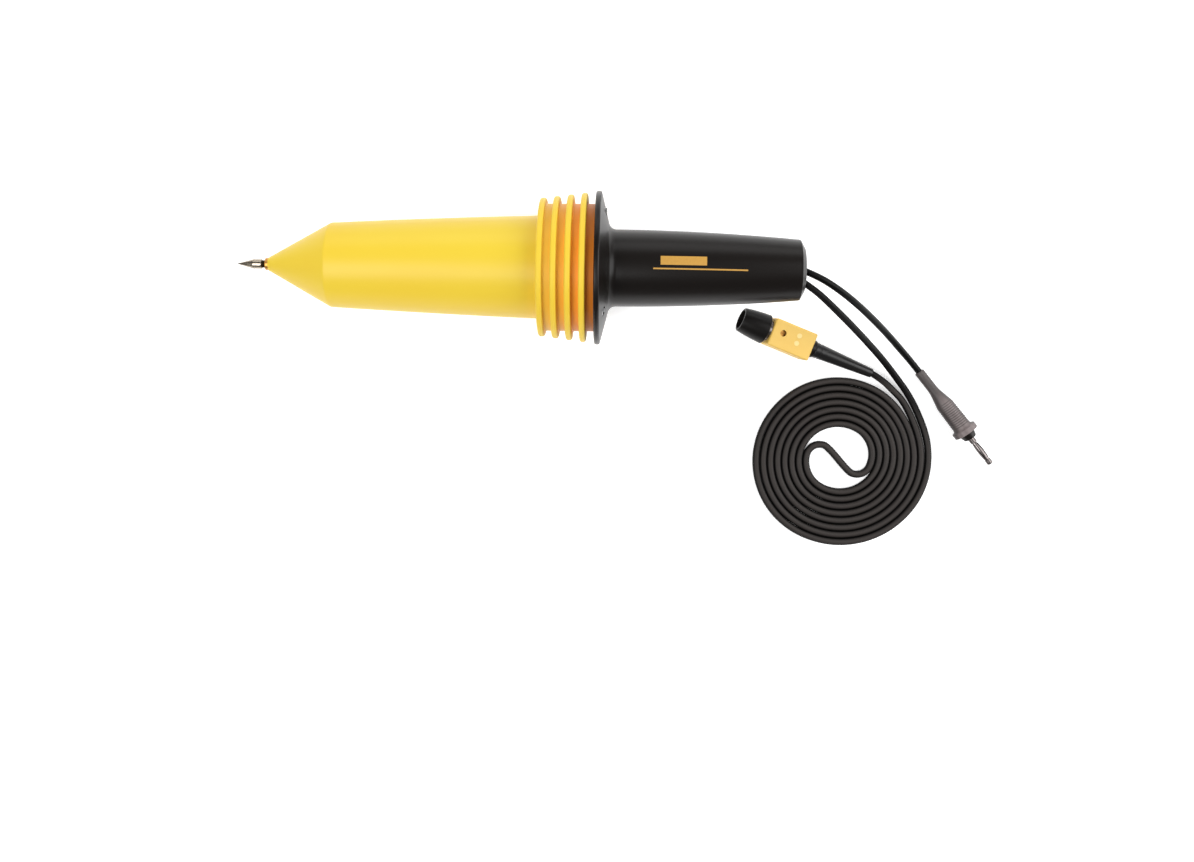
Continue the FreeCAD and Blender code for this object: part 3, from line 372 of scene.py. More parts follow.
@dataclass(frozen=True)
class Wound:
    """A coiled jacket with a painted highlight: paler along the tops of its turns, within the coil."""

    centre: tuple[float, float]
    reach_mm: float
    top_highlight: str
    fade_mm: float = 4.0
    low_mm: float = 3.35
    high_mm: float = 4.45

    def over(self, tree: Tree, where: Socket, colour: Socket) -> Socket:
        """Lays the painted highlight over a colour.

        Args:
            tree: the material's tree.
            where: the point, measured from the station. It isn't used: the coil lies on the bench.
            colour: the colour of the free lead.

        Returns:
            The socket with both.
        """
        place = add_node(tree, "ShaderNodeTexCoord")
        flat = add_node(
            tree, "ShaderNodeVectorMath", {0: place.outputs["Object"], 1: (1.0, 1.0, 0.0)},
            operation="MULTIPLY",
        )
        middle = (self.centre[0] * MM, self.centre[1] * MM, 0.0)
        away = add_node(tree, "ShaderNodeVectorMath", {0: flat.outputs[0], 1: middle}, operation="DISTANCE")
        share = add_node(
            tree, "ShaderNodeMapRange",
            {"Value": away.outputs["Value"], "From Min": (self.reach_mm + self.fade_mm) * MM,
             "From Max": self.reach_mm * MM},
            interpolation_type="SMOOTHSTEP",
        )
        # Painted highlight: the tops of the turns turn paler, where the light from above falls.
        height = add_node(tree, "ShaderNodeSeparateXYZ", {0: place.outputs["Object"]})
        top = add_node(
            tree, "ShaderNodeMapRange",
            {"Value": height.outputs["Z"], "From Min": self.low_mm * MM, "From Max": self.high_mm * MM},
            interpolation_type="SMOOTHSTEP",
        )
        lit_share = add_node(
            tree, "ShaderNodeMath", {0: share.outputs["Result"], 1: top.outputs["Result"]},
            operation="MULTIPLY",
        )
        both = add_node(
            tree, "ShaderNodeMix", {0: lit_share.outputs[0], 6: colour, 7: linear(self.top_highlight)}, data_type="RGBA",
        )
        return both.outputs[2]


@dataclass(frozen=True)
class Moulded:
    """An injection-moulded thermoplastic: even colour with faint flow, a fine grain and a soft gloss."""

    name: str
    colour: str
    flow_colour: str
    roughness: float
    grain_mm: float = 0.35
    grain_height_mm: float = 0.004
    flow_mm: float = 30.0
    flow_stretch: float = 0.25
    flow_amount: float = 0.5
    coat: float = 0.0
    coat_roughness: float = 0.1
    gloss_spread: float = 0.15
    specular: float = 0.5
    subsurface: float = 0.0
    station: Place = Place.PROBE
    zones: Grooves | Ribs | Wound | None = None

    def build(self) -> bpy.types.Material:
        """Makes the material.

        Returns:
            The material, ready for a slot.
        """
        material, tree, shader = blank_material(self.name)
        place = add_node(tree, "ShaderNodeTexCoord")
        turned = add_node(
            tree, "ShaderNodeMapping",
            {"Vector": place.outputs["Object"], "Rotation": PLACES[self.station].euler(),
             "Location": PLACES[self.station].offset()},
        )
        laid = add_node(
            tree, "ShaderNodeMapping",
            {"Vector": turned.outputs["Vector"], "Scale": (self.flow_stretch, 1.0, 1.0)},
        )
        flow = add_node(
            tree, "ShaderNodeTexNoise",
            {"Vector": laid.outputs["Vector"], "Scale": per_metre(self.flow_mm), "Detail": 3.0},
        )
        spread = add_node(
            tree, "ShaderNodeMapRange",
            {"Value": flow.outputs["Fac"], "From Min": NOISE_LOW, "From Max": NOISE_HIGH,
             "To Max": self.flow_amount},
        )
        tint = add_node(
            tree, "ShaderNodeMix",
            {0: spread.outputs["Result"], 6: linear(self.colour), 7: linear(self.flow_colour)},
            data_type="RGBA",
        )
        colour = tint.outputs[2]
        if self.zones:
            colour = self.zones.over(tree, turned.outputs["Vector"], colour)
        grain = add_node(
            tree, "ShaderNodeTexNoise",
            {"Vector": place.outputs["Object"], "Scale": per_metre(self.grain_mm), "Detail": 2.0},
        )
        gloss = add_node(
            tree, "ShaderNodeMapRange",
            {"Value": flow.outputs["Fac"], "To Min": self.roughness * (1.0 - self.gloss_spread),
             "To Max": self.roughness * (1.0 + self.gloss_spread)},
        )
        bump = add_node(
            tree, "ShaderNodeBump",
            {"Height": grain.outputs["Fac"], "Strength": 1.0, "Distance": self.grain_height_mm * MM},
        )
        fill(tree, shader, {
            "Base Color": colour, "Roughness": gloss.outputs["Result"], "Normal": bump.outputs["Normal"],
            "Specular IOR Level": self.specular, "Coat Weight": self.coat,
            "Coat Roughness": self.coat_roughness, "Subsurface Weight": self.subsurface,
        })
        return material


@dataclass(frozen=True)
class TurnedMetal:
    """A turned or plated metal: bright, with fine tool lines round its axis and a few dull patches."""

    name: str
    colour: str
    roughness: float
    line_mm: float = 0.25
    line_height_mm: float = 0.002
    line_wander: float = 0.6
    patch_mm: float = 3.0
    patch_low: float = 0.35
    patch_high: float = 0.75
    dulling: float = 1.6
    station: Place = Place.PROBE

    def build(self) -> bpy.types.Material:
        """Makes the material.

        Returns:
            The material, ready for a slot.
        """
        material, tree, shader = blank_material(self.name)
        place = add_node(tree, "ShaderNodeTexCoord")
        laid = add_node(
            tree, "ShaderNodeMapping",
            {"Vector": place.outputs["Object"], "Rotation": PLACES[self.station].euler()},
        )
        lines = add_node(
            tree, "ShaderNodeTexWave",
            {"Vector": laid.outputs["Vector"], "Scale": per_metre(self.line_mm) * WAVE_CYCLE,
             "Distortion": self.line_wander},
            wave_type="BANDS", bands_direction="X",
        )
        patches = add_node(
            tree, "ShaderNodeTexNoise",
            {"Vector": place.outputs["Object"], "Scale": per_metre(self.patch_mm), "Detail": 3.0},
        )
        dull = add_node(
            tree, "ShaderNodeMapRange",
            {"Value": patches.outputs["Fac"], "From Min": self.patch_low, "From Max": self.patch_high,
             "To Min": self.roughness, "To Max": self.roughness * self.dulling},
        )
        bump = add_node(
            tree, "ShaderNodeBump",
            {"Height": lines.outputs["Fac"], "Strength": 1.0, "Distance": self.line_height_mm * MM},
        )
        fill(tree, shader, {
            "Base Color": linear(self.colour), "Metallic": 1.0, "Roughness": dull.outputs["Result"],
            "Normal": bump.outputs["Normal"],
        })
        return material


class Finish(Enum):
    """The finish of each slot in the record."""

    # Mirror-polished carbon steel, nickel flashed: near-white glints beside near-black ones.
    TIP_STEEL = ("tip_steel", TurnedMetal("polished_needle_steel", "#9B9182", 0.2))
    # Free-cutting brass, turned: warm yellow, seen only as a thin lip.
    BRASS = ("brass", TurnedMetal("turned_brass", "#BE8C4A", 0.36))
    # Nickel plate over brass: cool, a little soft where the plate is thick.
    NICKEL = ("nickel", TurnedMetal("bright_nickel_plate", "#6E6867", 0.2, station=Place.PLUG))
    # ABS in signal yellow, moulded: satin, with slow flow streaks along the draw.
    YELLOW_BARREL = (
        "yellow_barrel",
        Moulded("abs_signal_yellow", "#DABE38", "#DAB430", 0.38, grain_mm=0.5, specular=0.25),
    )
    # The same ABS in the collar: satin lemon rims, over grooves with painted shade and painted orange bounce
    # light that deepen by the flange.
    YELLOW_COLLAR = (
        "yellow_collar",
        Moulded(
            "abs_collar_yellow", "#DCBD3C", "#DAB536", 0.42, specular=0.15,
            zones=Grooves(37.2, 38.8, (
                (185.9, "#E4B43E"), (193.8, "#EAAC3A"), (203.0, "#EE9A34"), (207.3, "#E0862A"),
                (211.0, "#CC7422"),
            )),
        ),
    )
    # Black ABS, moulded satin: dark with a broad soft sheen.
    BLACK_HANDLE = (
        "black_handle",
        Moulded("abs_satin_black", "#0E0A08", "#100C0A", 0.33, grain_mm=0.4, specular=0.22),
    )
    # Alumina rod, glazed: white and slightly glassy.
    WHITE_CERAMIC = ("white_ceramic", Moulded("glazed_alumina", "#EDEAE0", "#E4E0D4", 0.25, coat=0.3))
    # Acetal in its natural colour: milky white, waxy.
    NATURAL_PLASTIC = (
        "natural_plastic",
        Moulded("natural_acetal", "#E9E5D6", "#E2DDCC", 0.42, subsurface=0.1),
    )
    # Drawn aluminium tube: grey-white with long dull patches.
    ALUMINIUM = ("aluminium", TurnedMetal("drawn_aluminium", "#C4C5C7", 0.34))
    # Black nitrile, cut from sheet: matt and dark.
    GASKET_RUBBER = ("gasket_rubber", Moulded("cut_nitrile", "#1B1B1B", "#222222", 0.75, specular=0.3))
    # Glass-epoxy laminate under green mask: even green, glossy.
    BOARD = ("board", Moulded("green_masked_laminate", "#1E5A3A", "#256644", 0.3, flow_mm=6.0, coat=0.3))
    # Moulded epoxy of small components: near black, matt.
    COMPONENTS = ("components", Moulded("moulded_epoxy_parts", "#26231F", "#37322B", 0.55, flow_mm=5.0))
    # Zinc-plated steel: bright grey, slightly cloudy.
    SCREW_STEEL = ("screw_steel", TurnedMetal("zinc_plated_steel", "#B9BABB", 0.3))
    # Black ABS of the bayonet cover, rubbed by fingers: a little flatter than the handle.
    BLACK_SHROUD = (
        "black_shroud",
        Moulded("abs_cover_black", "#0C0A09", "#100D0C", 0.38, specular=0.16, station=Place.CONNECTOR),
    )
    # PTFE, turned: opaque white and waxy.
    WHITE_INSULATOR = ("white_insulator", Moulded("turned_ptfe", "#EFEEE9", "#E8E7E0", 0.45, subsurface=0.1))
    # Hard gold flash over nickel: warm and bright.
    GOLD_CONTACT = ("gold_contact", TurnedMetal("gold_flash", "#E2BE6B", 0.18, station=Place.CONNECTOR))
    # ABS in a paler yellow, spark-eroded tool: matt, slightly chalky.
    BOX_YELLOW = (
        "box_yellow",
        Moulded(
            "abs_box_yellow", "#DCB65A", "#D8AE50", 0.5, grain_mm=0.3, flow_mm=9.0, station=Place.CONNECTOR,
        ),
    )
    # Natural nylon plugs: paler than the box, a little translucent.
    PLUG_PALE = ("plug_pale", Moulded("nylon_plug_pale", "#F2D489", "#EECB7A", 0.4, subsurface=0.1))
    # Phenolic trimmer: reddish brown, seen down its hole.
    TRIMMER_AMBER = ("trimmer_amber", Moulded("phenolic_brown", "#4A1E10", "#552414", 0.45, flow_mm=2.0))
    # Soft PVC boot: black, with a broad weak sheen.
    BLACK_BOOT = (
        "black_boot",
        Moulded(
            "soft_pvc_boot", "#0F0E0E", "#131212", 0.34, specular=0.35, flow_mm=8.0,
            station=Place.CONNECTOR,
        ),
    )
    # Thermoplastic elastomer grip: warm grey and matt, with dirt and painted shade between its ribs and
    # painted shade low on its sides.
    GRIP_GREY = (
        "grip_grey",
        Moulded(
            "grey_elastomer_grip", "#7A6F6E", "#544A49", 0.55, grain_mm=0.3, flow_mm=2.2, station=Place.PLUG,
            zones=Ribs(pitch_mm=1.35, first_mm=11.4, last_mm=27.6, dirt_and_shade="#1C1716"),
        ),
    )
    # Flexible PVC coax jacket: near black, with a painted highlight in charcoal along the tops of its coiled
    # turns.
    CABLE_GREY = (
        "cable_grey",
        Moulded(
            "pvc_coax_jacket", "#080707", "#0B0A0A", 0.5, specular=0.12, flow_mm=20.0, flow_stretch=1.0,
            zones=Wound(COIL_CENTRE, 52.5, "#35312F"),
        ),
    )
    # Silicone lead: blacker and a little glossier than the coax.
    CABLE_BLACK = (
        "cable_black",
        Moulded(
            "silicone_lead", "#040404", "#060606", 0.4, specular=0.12, flow_mm=20.0, flow_stretch=1.0,
        ),
    )

    @property
    def slot(self) -> str:
        """The record's name of the slot."""
        return self.value[0]

    def material(self) -> bpy.types.Material:
        """The slot's material, made once."""
        name = self.value[1].name
        return bpy.data.materials.get(name) or self.value[1].build()


def finish_of(slot: str) -> Finish:
    """The finish that belongs to a slot of the record."""
    return next(finish for finish in Finish if finish.slot == slot)


@dataclass(frozen=True)
class PrintedInk:
    """Screen-printed ink: opaque, matt and a little uneven at its edges."""

    name: str = "printed_gold_ink"
    colour: str = "#C0913B"
    worn_colour: str = "#AA7E35"
    patch_mm: float = 1.2
    roughness: float = 0.45

    def build(self) -> bpy.types.Material:
        """Makes the material.

        Returns:
            The material, ready for a slot.
        """
        material, tree, shader = blank_material(self.name)
        place = add_node(tree, "ShaderNodeTexCoord")
        cover = add_node(
            tree, "ShaderNodeTexNoise",
            {"Vector": place.outputs["Object"], "Scale": per_metre(self.patch_mm), "Detail": 4.0},
        )
        tint = add_node(
            tree, "ShaderNodeMix",
            {0: cover.outputs["Fac"], 6: linear(self.colour), 7: linear(self.worn_colour)},
            data_type="RGBA",
        )
        fill(tree, shader, {"Base Color": tint.outputs[2], "Roughness": self.roughness})
        return material


def new_piece(
    name: str, mesh: bpy.types.Mesh, material: bpy.types.Material,
) -> bpy.types.Object:
    """Links a finished mesh into the scene as a piece.

    Args:
        name: the piece's name.
        mesh: its mesh, already in the frame's coordinates.
        material: its material.

    Returns:
        The new object, which sits at the origin.
    """
    piece = put(name, mesh)
    mesh.materials.clear()
    mesh.materials.append(material)
    return piece


@dataclass
class Lead:
    """A free lead: one smooth line through its control points.

    Its soft jacket is drawn a little full: free is its share of the nominal diameter.
    """

    name: str
    finish: Finish
    far_end: str
    replaced: tuple[str, ...]
    carried: tuple[str, ...]
    lay: str
    length: float
    diameter: float = 3.9 * MM
    free: float = 1.07
    line_steps: int = 8
    round_steps: int = 6

    def points(self) -> list[Vector]:
        """The control points of the lead's line, in metres. Each kind of lead has its own."""
        raise NotImplementedError

    def fullness(self, point: Vector) -> float:
        """The share of its own diameter that the lead has at a control point away from its ends."""
        return self.free

    def build(self) -> bpy.types.Object:
        """Returns:
            The lead's curve object.
        """
        points = self.points()
        last = len(points) - 1
        curve = bpy.data.curves.new(self.name, "CURVE")
        curve.dimensions = "3D"
        spline = curve.splines.new("NURBS")
        spline.points.add(last)
        for i, (control, point) in enumerate(zip(spline.points, points)):
            control.co = (*point, 1.0)
            control.radius = self.fullness(point) if 1 < i < last - 1 else 1.0
        spline.order_u = 3
        spline.use_endpoint_u = True
        spline.resolution_u = self.line_steps
        curve.bevel_depth = self.diameter / 2
        curve.bevel_resolution = self.round_steps
        curve.use_fill_caps = True
        curve.materials.append(self.finish.material())
        piece = put(self.name, curve)
        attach(piece, PROBE)
        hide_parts(*self.replaced)
        log.info("%s: %d control points", self.name, len(points))
        return piece


@dataclass
class GroundLead(Lead):
    """The short ground lead, from the end cap down to its plug."""

    route: tuple[Triple, ...] = (
        (160.8, 0.9, 55.1), (170.5, -3.0, 57.3), (182.6, -9.6, 54.4), (196.2, -17.6, 45.0),
        (210.1, -26.0, 30.8), (223.3, -34.8, 17.2), (234.8, -44.1, 7.4), (242.8, -51.5, 3.2),
        (247.9, -57.6, 2.8),
    )

    def points(self) -> list[Vector]:
        """The route's own points, in metres."""
        return [Vector(point) * MM for point in self.route]


@dataclass
class SignalLead(Lead):
    """The coax lead: down to the bench, round the double-wound coil and on to the strain relief.

    The coil has two arms in step, which an S joins in the middle. Each arm is made of quarter
    turns whose radius grows by turns by two steps, so that the coil is slightly oval. Its outer
    turns are pressed in a little where the two ends leave it. Lengths are millimetres and angles
    degrees, and snug is the share of the diameter at which the turns close up.
    """

    way_down: tuple[Triple, ...] = (
        (160.7, -5.4, 56.3), (169.0, -10.8, 58.2), (181.8, -21.3, 53.6), (197.0, -32.2, 40.5),
        (210.5, -41.4, 25.0), (222.7, -50.3, 11.6), (232.8, -60.1, 3.9), (243.5, -73.6, 1.95),
    )
    way_back: tuple[Triple, ...] = (
        (239.4, -76.2, 1.95), (232.1, -68.9, 2.5), (225.0, -62.8, 4.3), (218.3, -58.9, 4.9),
    )
    centre: tuple[float, float] = COIL_CENTRE
    shift: tuple[float, float] = (-4.47, 0.57)
    height: float = 1.95
    pitch: float = 4.33
    oval: float = 8.5
    first_radius: float = 17.6
    first_quarter: float = 150.0
    bend_radius: float = 8.2
    inner_start: float = 168.0
    outer_start: float = 335.0
    inner_end: float = 30.0 + 4 * 360.0
    outer_end: float = 25.0 + 5 * 360.0
    coil_reach: float = 52.0
    snug: float = 1.12
    pressed_at: float = 25.0
    pressed_half: float = 55.0
    pressed_depth: float = 1.3
    pressed_radius: float = 46.0
    pressed_spread: float = 21.0
    turn_step: float = 15.0
    bend_step: float = 30.0

    def quarter(self, angle: float, outer: bool) -> tuple[Vector, float]:
        """The quarter turn that an angle falls in.

        Args:
            angle: degrees round the coil, counted up from the middle.
            outer: whether it is on the outer of the two arms.

        Returns:
            The quarter's centre and radius, in millimetres.
        """
        steps = ((self.pitch + self.oval) / 2, (self.pitch - self.oval) / 2)
        centre = Vector(self.centre) + Vector(self.shift)
        radius = self.first_radius
        turned = self.first_quarter + 90.0
        index = 0
        while angle > turned:
            growth = steps[index % 2]
            centre -= growth * Vector((math.cos(math.radians(turned)), math.sin(math.radians(turned))))
            radius += growth
            turned += 90.0
            index += 1
        return centre, radius - (self.pitch if outer else 0.0)

    def around(self, centre: Vector, radius: float, angle: float, step: float) -> Vector:
        """A control point of a turn.

        It stands outside the turn by what the spline cuts off, less what the turn is pressed in.

        Args:
            centre: the turn's centre, in millimetres.
            radius: its radius, in millimetres.
            angle: degrees round it.
            step: degrees from point to point.

        Returns:
            The control point, in metres.
        """
        reach = radius / math.cos(math.radians(step / 2))
        off = abs((angle - self.pressed_at + 180.0) % 360.0 - 180.0)
        if off < self.pressed_half:
            share = max(0.0, 1.0 - abs(radius - self.pressed_radius) / self.pressed_spread)
            reach -= self.pressed_depth * share * (1.0 + math.cos(math.pi * off / self.pressed_half)) / 2
        x = centre.x + reach * math.cos(math.radians(angle))
        y = centre.y + reach * math.sin(math.radians(angle))
        return Vector((x, y, self.height * self.snug)) * MM

    def arm(self, start: float, end: float, outer: bool) -> list[Vector]:
        """The control points of an arm, from its inner end to its outer end.

        Args:
            start: degrees at its inner end.
            end: degrees at its outer end.
            outer: whether it is the outer of the two arms.

        Returns:
            Its control points, in metres.
        """
        count = round((end - start) / self.turn_step)
        step = (end - start) / count
        angles = [start + step * (i + 0.5) for i in range(count)]
        return [self.around(*self.quarter(angle, outer), angle, step) for angle in angles]

    def bends(self) -> list[Vector]:
        """The control points of the S, from the outer arm's inner end to the inner arm's."""
        centres = []
        for angle, outer in ((self.outer_start, True), (self.inner_start, False)):
            centre, radius = self.quarter(angle, outer)
            reach = radius - self.bend_radius
            turned = math.radians(angle)
            centres.append(centre + reach * Vector((math.cos(turned), math.sin(turned))))
        line = centres[1] - centres[0]
        lean = math.degrees(math.asin(2 * self.bend_radius / line.length))
        leave = math.degrees(math.atan2(line.y, line.x)) + 90.0 - lean
        leave = self.outer_start - (self.outer_start - leave) % 360.0
        enter = self.inner_start - (self.inner_start - leave - 180.0) % 360.0
        halves = ((centres[0], self.outer_start, leave), (centres[1], enter, self.inner_start))
        found = []
        for centre, start, end in halves:
            count = round(abs(end - start) / self.bend_step)
            step = (end - start) / count
            for i in range(count):
                angle = start + step * (i + 0.5)
                found.append(self.around(centre, self.bend_radius, angle, abs(step)))
        return found

    def fullness(self, point: Vector) -> float:
        """A turn of the coil sags wider against its neighbours, so that no bench shows between them."""
        inside = (point.xy - Vector(self.centre) * MM).length < self.coil_reach * MM
        return self.snug if inside else self.free

    def points(self) -> list[Vector]:
        """The whole line's control points, from the handle to the strain relief, in metres."""
        outer = self.arm(self.outer_start, self.outer_end, True)
        inner = self.arm(self.inner_start, self.inner_end, False)
        down = [Vector(point) * MM for point in self.way_down]
        back = [Vector(point) * MM for point in self.way_back]
        return down + outer[::-1] + self.bends() + inner + back


@dataclass
class HandleLabel:
    """The printed bar and line on the handle: plain, with nothing written on them.

    Lengths are stations from the needle's point, and the print is turned about the handle's axis.
    """

    bar: tuple[float, float, float, float] = (248.7, 274.2, -2.5, 2.5)
    line: tuple[float, float, float, float] = (244.7, 296.7, -5.0, -4.2)
    roll: float = 9.5
    film_mm: float = 0.04
    start_height_mm: float = 40.0
    cell_mm: float = 0.8
    ink: PrintedInk = field(default_factory=PrintedInk)

    def build(self) -> bpy.types.Object:
        """Makes the print on the handle.

        Returns:
            The print's object.
        """
        handle = frame["nodes"]["handle_shell"]
        surface = BVHTree.FromObject(handle, bpy.context.evaluated_depsgraph_get())
        place = PLACES[Place.PROBE].matrix() @ Matrix.Rotation(math.radians(-self.roll), 4, "X")
        shape = bmesh.new()
        for patch in (self.bar, self.line):
            self.add_patch(shape, patch, place, surface)
        bmesh.ops.recalc_face_normals(shape, faces=shape.faces)
        mesh = bpy.data.meshes.new("handle_print")
        shape.to_mesh(mesh)
        shape.free()
        piece = new_piece("handle_print", mesh, self.ink.build())
        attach(piece, PROBE)
        log.info("handle print: %d faces", len(mesh.polygons))
        return piece

    def add_patch(
        self, shape: bmesh.types.BMesh, patch: tuple[float, float, float, float],
        place: Matrix, surface: BVHTree,
    ) -> None:
        """Adds one closed film of ink that follows the handle.

        Args:
            shape: the mesh that gets it.
            patch: its first and last station, and its edges to the side, in millimetres.
            place: the turn and place of the handle.
            surface: the handle's surface.
        """
        x0, x1, y0, y1 = patch
        columns = max(2, math.ceil((x1 - x0) / self.cell_mm))
        rows = max(2, math.ceil((y1 - y0) / self.cell_mm))
        down = place.to_3x3() @ Vector((0, 0, -1))
        layers = []
        for lift in (self.film_mm, -self.film_mm):
            layer = []
            for i in range(columns + 1):
                for j in range(rows + 1):
                    x = x0 + (x1 - x0) * i / columns
                    y = y0 + (y1 - y0) * j / rows
                    start = place @ (Vector((x, y, self.start_height_mm)) * MM)
                    hit = surface.ray_cast(start, down)[0]
                    layer.append(shape.verts.new(hit - down * lift * MM))
            layers.append(layer)

        def at(layer: int, i: int, j: int) -> bmesh.types.BMVert:
            """The corner of a cell, on the film's top or underside."""
            return layers[layer][i * (rows + 1) + j]

        for i in range(columns):
            for j in range(rows):
                for layer in (0, 1):
                    ring = ((i, j), (i + 1, j), (i + 1, j + 1), (i, j + 1))
                    shape.faces.new([at(layer, *corner) for corner in ring])
        for i in range(columns):
            for j in (0, rows):
                shape.faces.new((at(0, i, j), at(0, i + 1, j), at(1, i + 1, j), at(1, i, j)))
        for j in range(rows):
            for i in (0, columns):
                shape.faces.new((at(0, i, j), at(0, i, j + 1), at(1, i, j + 1), at(1, i, j)))


@dataclass
class ScrewSet:
    """Pan-head screws with a cross recess, seated at points and all turned the same way.

    A head is a drum, a shoulder drawn in over it and a flatter crown. These and the recess's bars
    are shares of the head's height and radius, and the shank's lift is a share of its reach.
    """

    name: str
    body: str
    replaced: str
    finish: Finish
    station: Place
    seats: tuple[Triple, ...]
    facing: Triple
    head_radius: float
    head_height: float
    shank_radius: float
    reach: float
    drum: float = 0.7
    shoulder: float = 0.2
    shoulder_draw: float = 0.86
    crown: float = 0.1
    crown_draw: float = 0.75
    shank_lift: float = -0.45
    bar_length: float = 1.25
    bar_width: float = 0.28
    bars: int = 2
    sides: int = 40

    def tree(self) -> Tree:
        """Builds the node tree that makes the screws on the seats.

        Returns:
            The tree, with a named input for each of its sizes.
        """
        tree, given = open_tree(self.name + "_screws", {
            "Seats": "Geometry", "Head radius": "Float", "Head height": "Float", "Shank radius": "Float",
            "Reach": "Float", "Turn": "Rotation", "Metal": "Material",
        })
        shares = {
            "drum": ("Head height", self.drum),
            "drum middle": ("Head height", self.drum / 2),
            "shoulder": ("Head height", self.shoulder),
            "crown": ("Head height", self.crown),
            "shank middle": ("Reach", self.shank_lift),
            "bar length": ("Head radius", self.bar_length),
            "bar width": ("Head radius", self.bar_width),
        }
        size = {}
        for part, (label, share) in shares.items():
            product = add_node(tree, "ShaderNodeMath", {0: given[label], 1: share}, operation="MULTIPLY")
            size[part] = product.outputs[0]
        heights = {"drum": size["drum middle"], "shank": size["shank middle"], "bar": given["Head height"]}
        lift = {
            part: add_node(tree, "ShaderNodeCombineXYZ", {"Z": height}).outputs[0]
            for part, height in heights.items()
        }
        drum = add_node(
            tree, "GeometryNodeMeshCylinder",
            {"Vertices": self.sides, "Radius": given["Head radius"], "Depth": size["drum"]},
        )
        head = add_node(
            tree, "GeometryNodeTransform", {"Geometry": drum.outputs["Mesh"], "Translation": lift["drum"]},
        )
        top = drum.outputs["Top"]
        for rise, draw in (("shoulder", self.shoulder_draw), ("crown", self.crown_draw)):
            raised = add_node(
                tree, "GeometryNodeExtrudeMesh",
                {"Mesh": head.outputs[0], "Selection": top, "Offset Scale": size[rise], "Individual": False},
            )
            top = raised.outputs["Top"]
            head = add_node(
                tree, "GeometryNodeScaleElements",
                {"Geometry": raised.outputs["Mesh"], "Selection": top, "Scale": draw},
            )
        shank = add_node(
            tree, "GeometryNodeMeshCylinder",
            {"Vertices": self.sides, "Radius": given["Shank radius"], "Depth": given["Reach"]},
        )
        sunk = add_node(
            tree, "GeometryNodeTransform", {"Geometry": shank.outputs["Mesh"], "Translation": lift["shank"]},
        )
        whole = add_node(tree, "GeometryNodeMeshBoolean", operation="UNION")
        for part in (head, sunk):
            tree.links.new(part.outputs[0], whole.inputs["Mesh 2"])
        drive = add_node(
            tree, "GeometryNodeMeshBoolean", {"Mesh 1": whole.outputs["Mesh"]}, operation="DIFFERENCE",
        )
        block = add_node(
            tree, "ShaderNodeCombineXYZ",
            {"X": size["bar length"], "Y": size["bar width"], "Z": given["Head height"]},
        )
        bar = add_node(tree, "GeometryNodeMeshCube", {"Size": block.outputs[0]})
        for i in range(self.bars):
            laid = add_node(
                tree, "GeometryNodeTransform",
                {"Geometry": bar.outputs["Mesh"], "Rotation": (0.0, 0.0, math.pi * i / self.bars),
                 "Translation": lift["bar"]},
            )
            tree.links.new(laid.outputs[0], drive.inputs["Mesh 2"])
        placed = add_node(
            tree, "GeometryNodeInstanceOnPoints",
            {"Points": given["Seats"], "Instance": drive.outputs["Mesh"], "Rotation": given["Turn"]},
        )
        close_tree(tree, placed.outputs[0], given["Metal"])
        return tree

    def build(self) -> bpy.types.Object:
        """Makes the screws as one plain mesh.

        Returns:
            The screws' object.
        """
        place = PLACES[self.station].matrix()
        facing = place.to_3x3() @ Vector(self.facing)
        mesh = grow(self.name, [place @ (Vector(seat) * MM) for seat in self.seats], self.tree(), {
            "Head radius": self.head_radius * MM,
            "Head height": self.head_height * MM,
            "Shank radius": self.shank_radius * MM,
            "Reach": self.reach * MM,
            "Turn": facing.to_track_quat("Z", "Y").to_euler(),
            "Metal": self.finish.material(),
        })
        piece = new_piece(self.name, mesh, self.finish.material())
        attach(piece, self.body)
        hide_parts(self.replaced)
        log.info("%s: %d faces", self.name, len(mesh.polygons))
        return piece


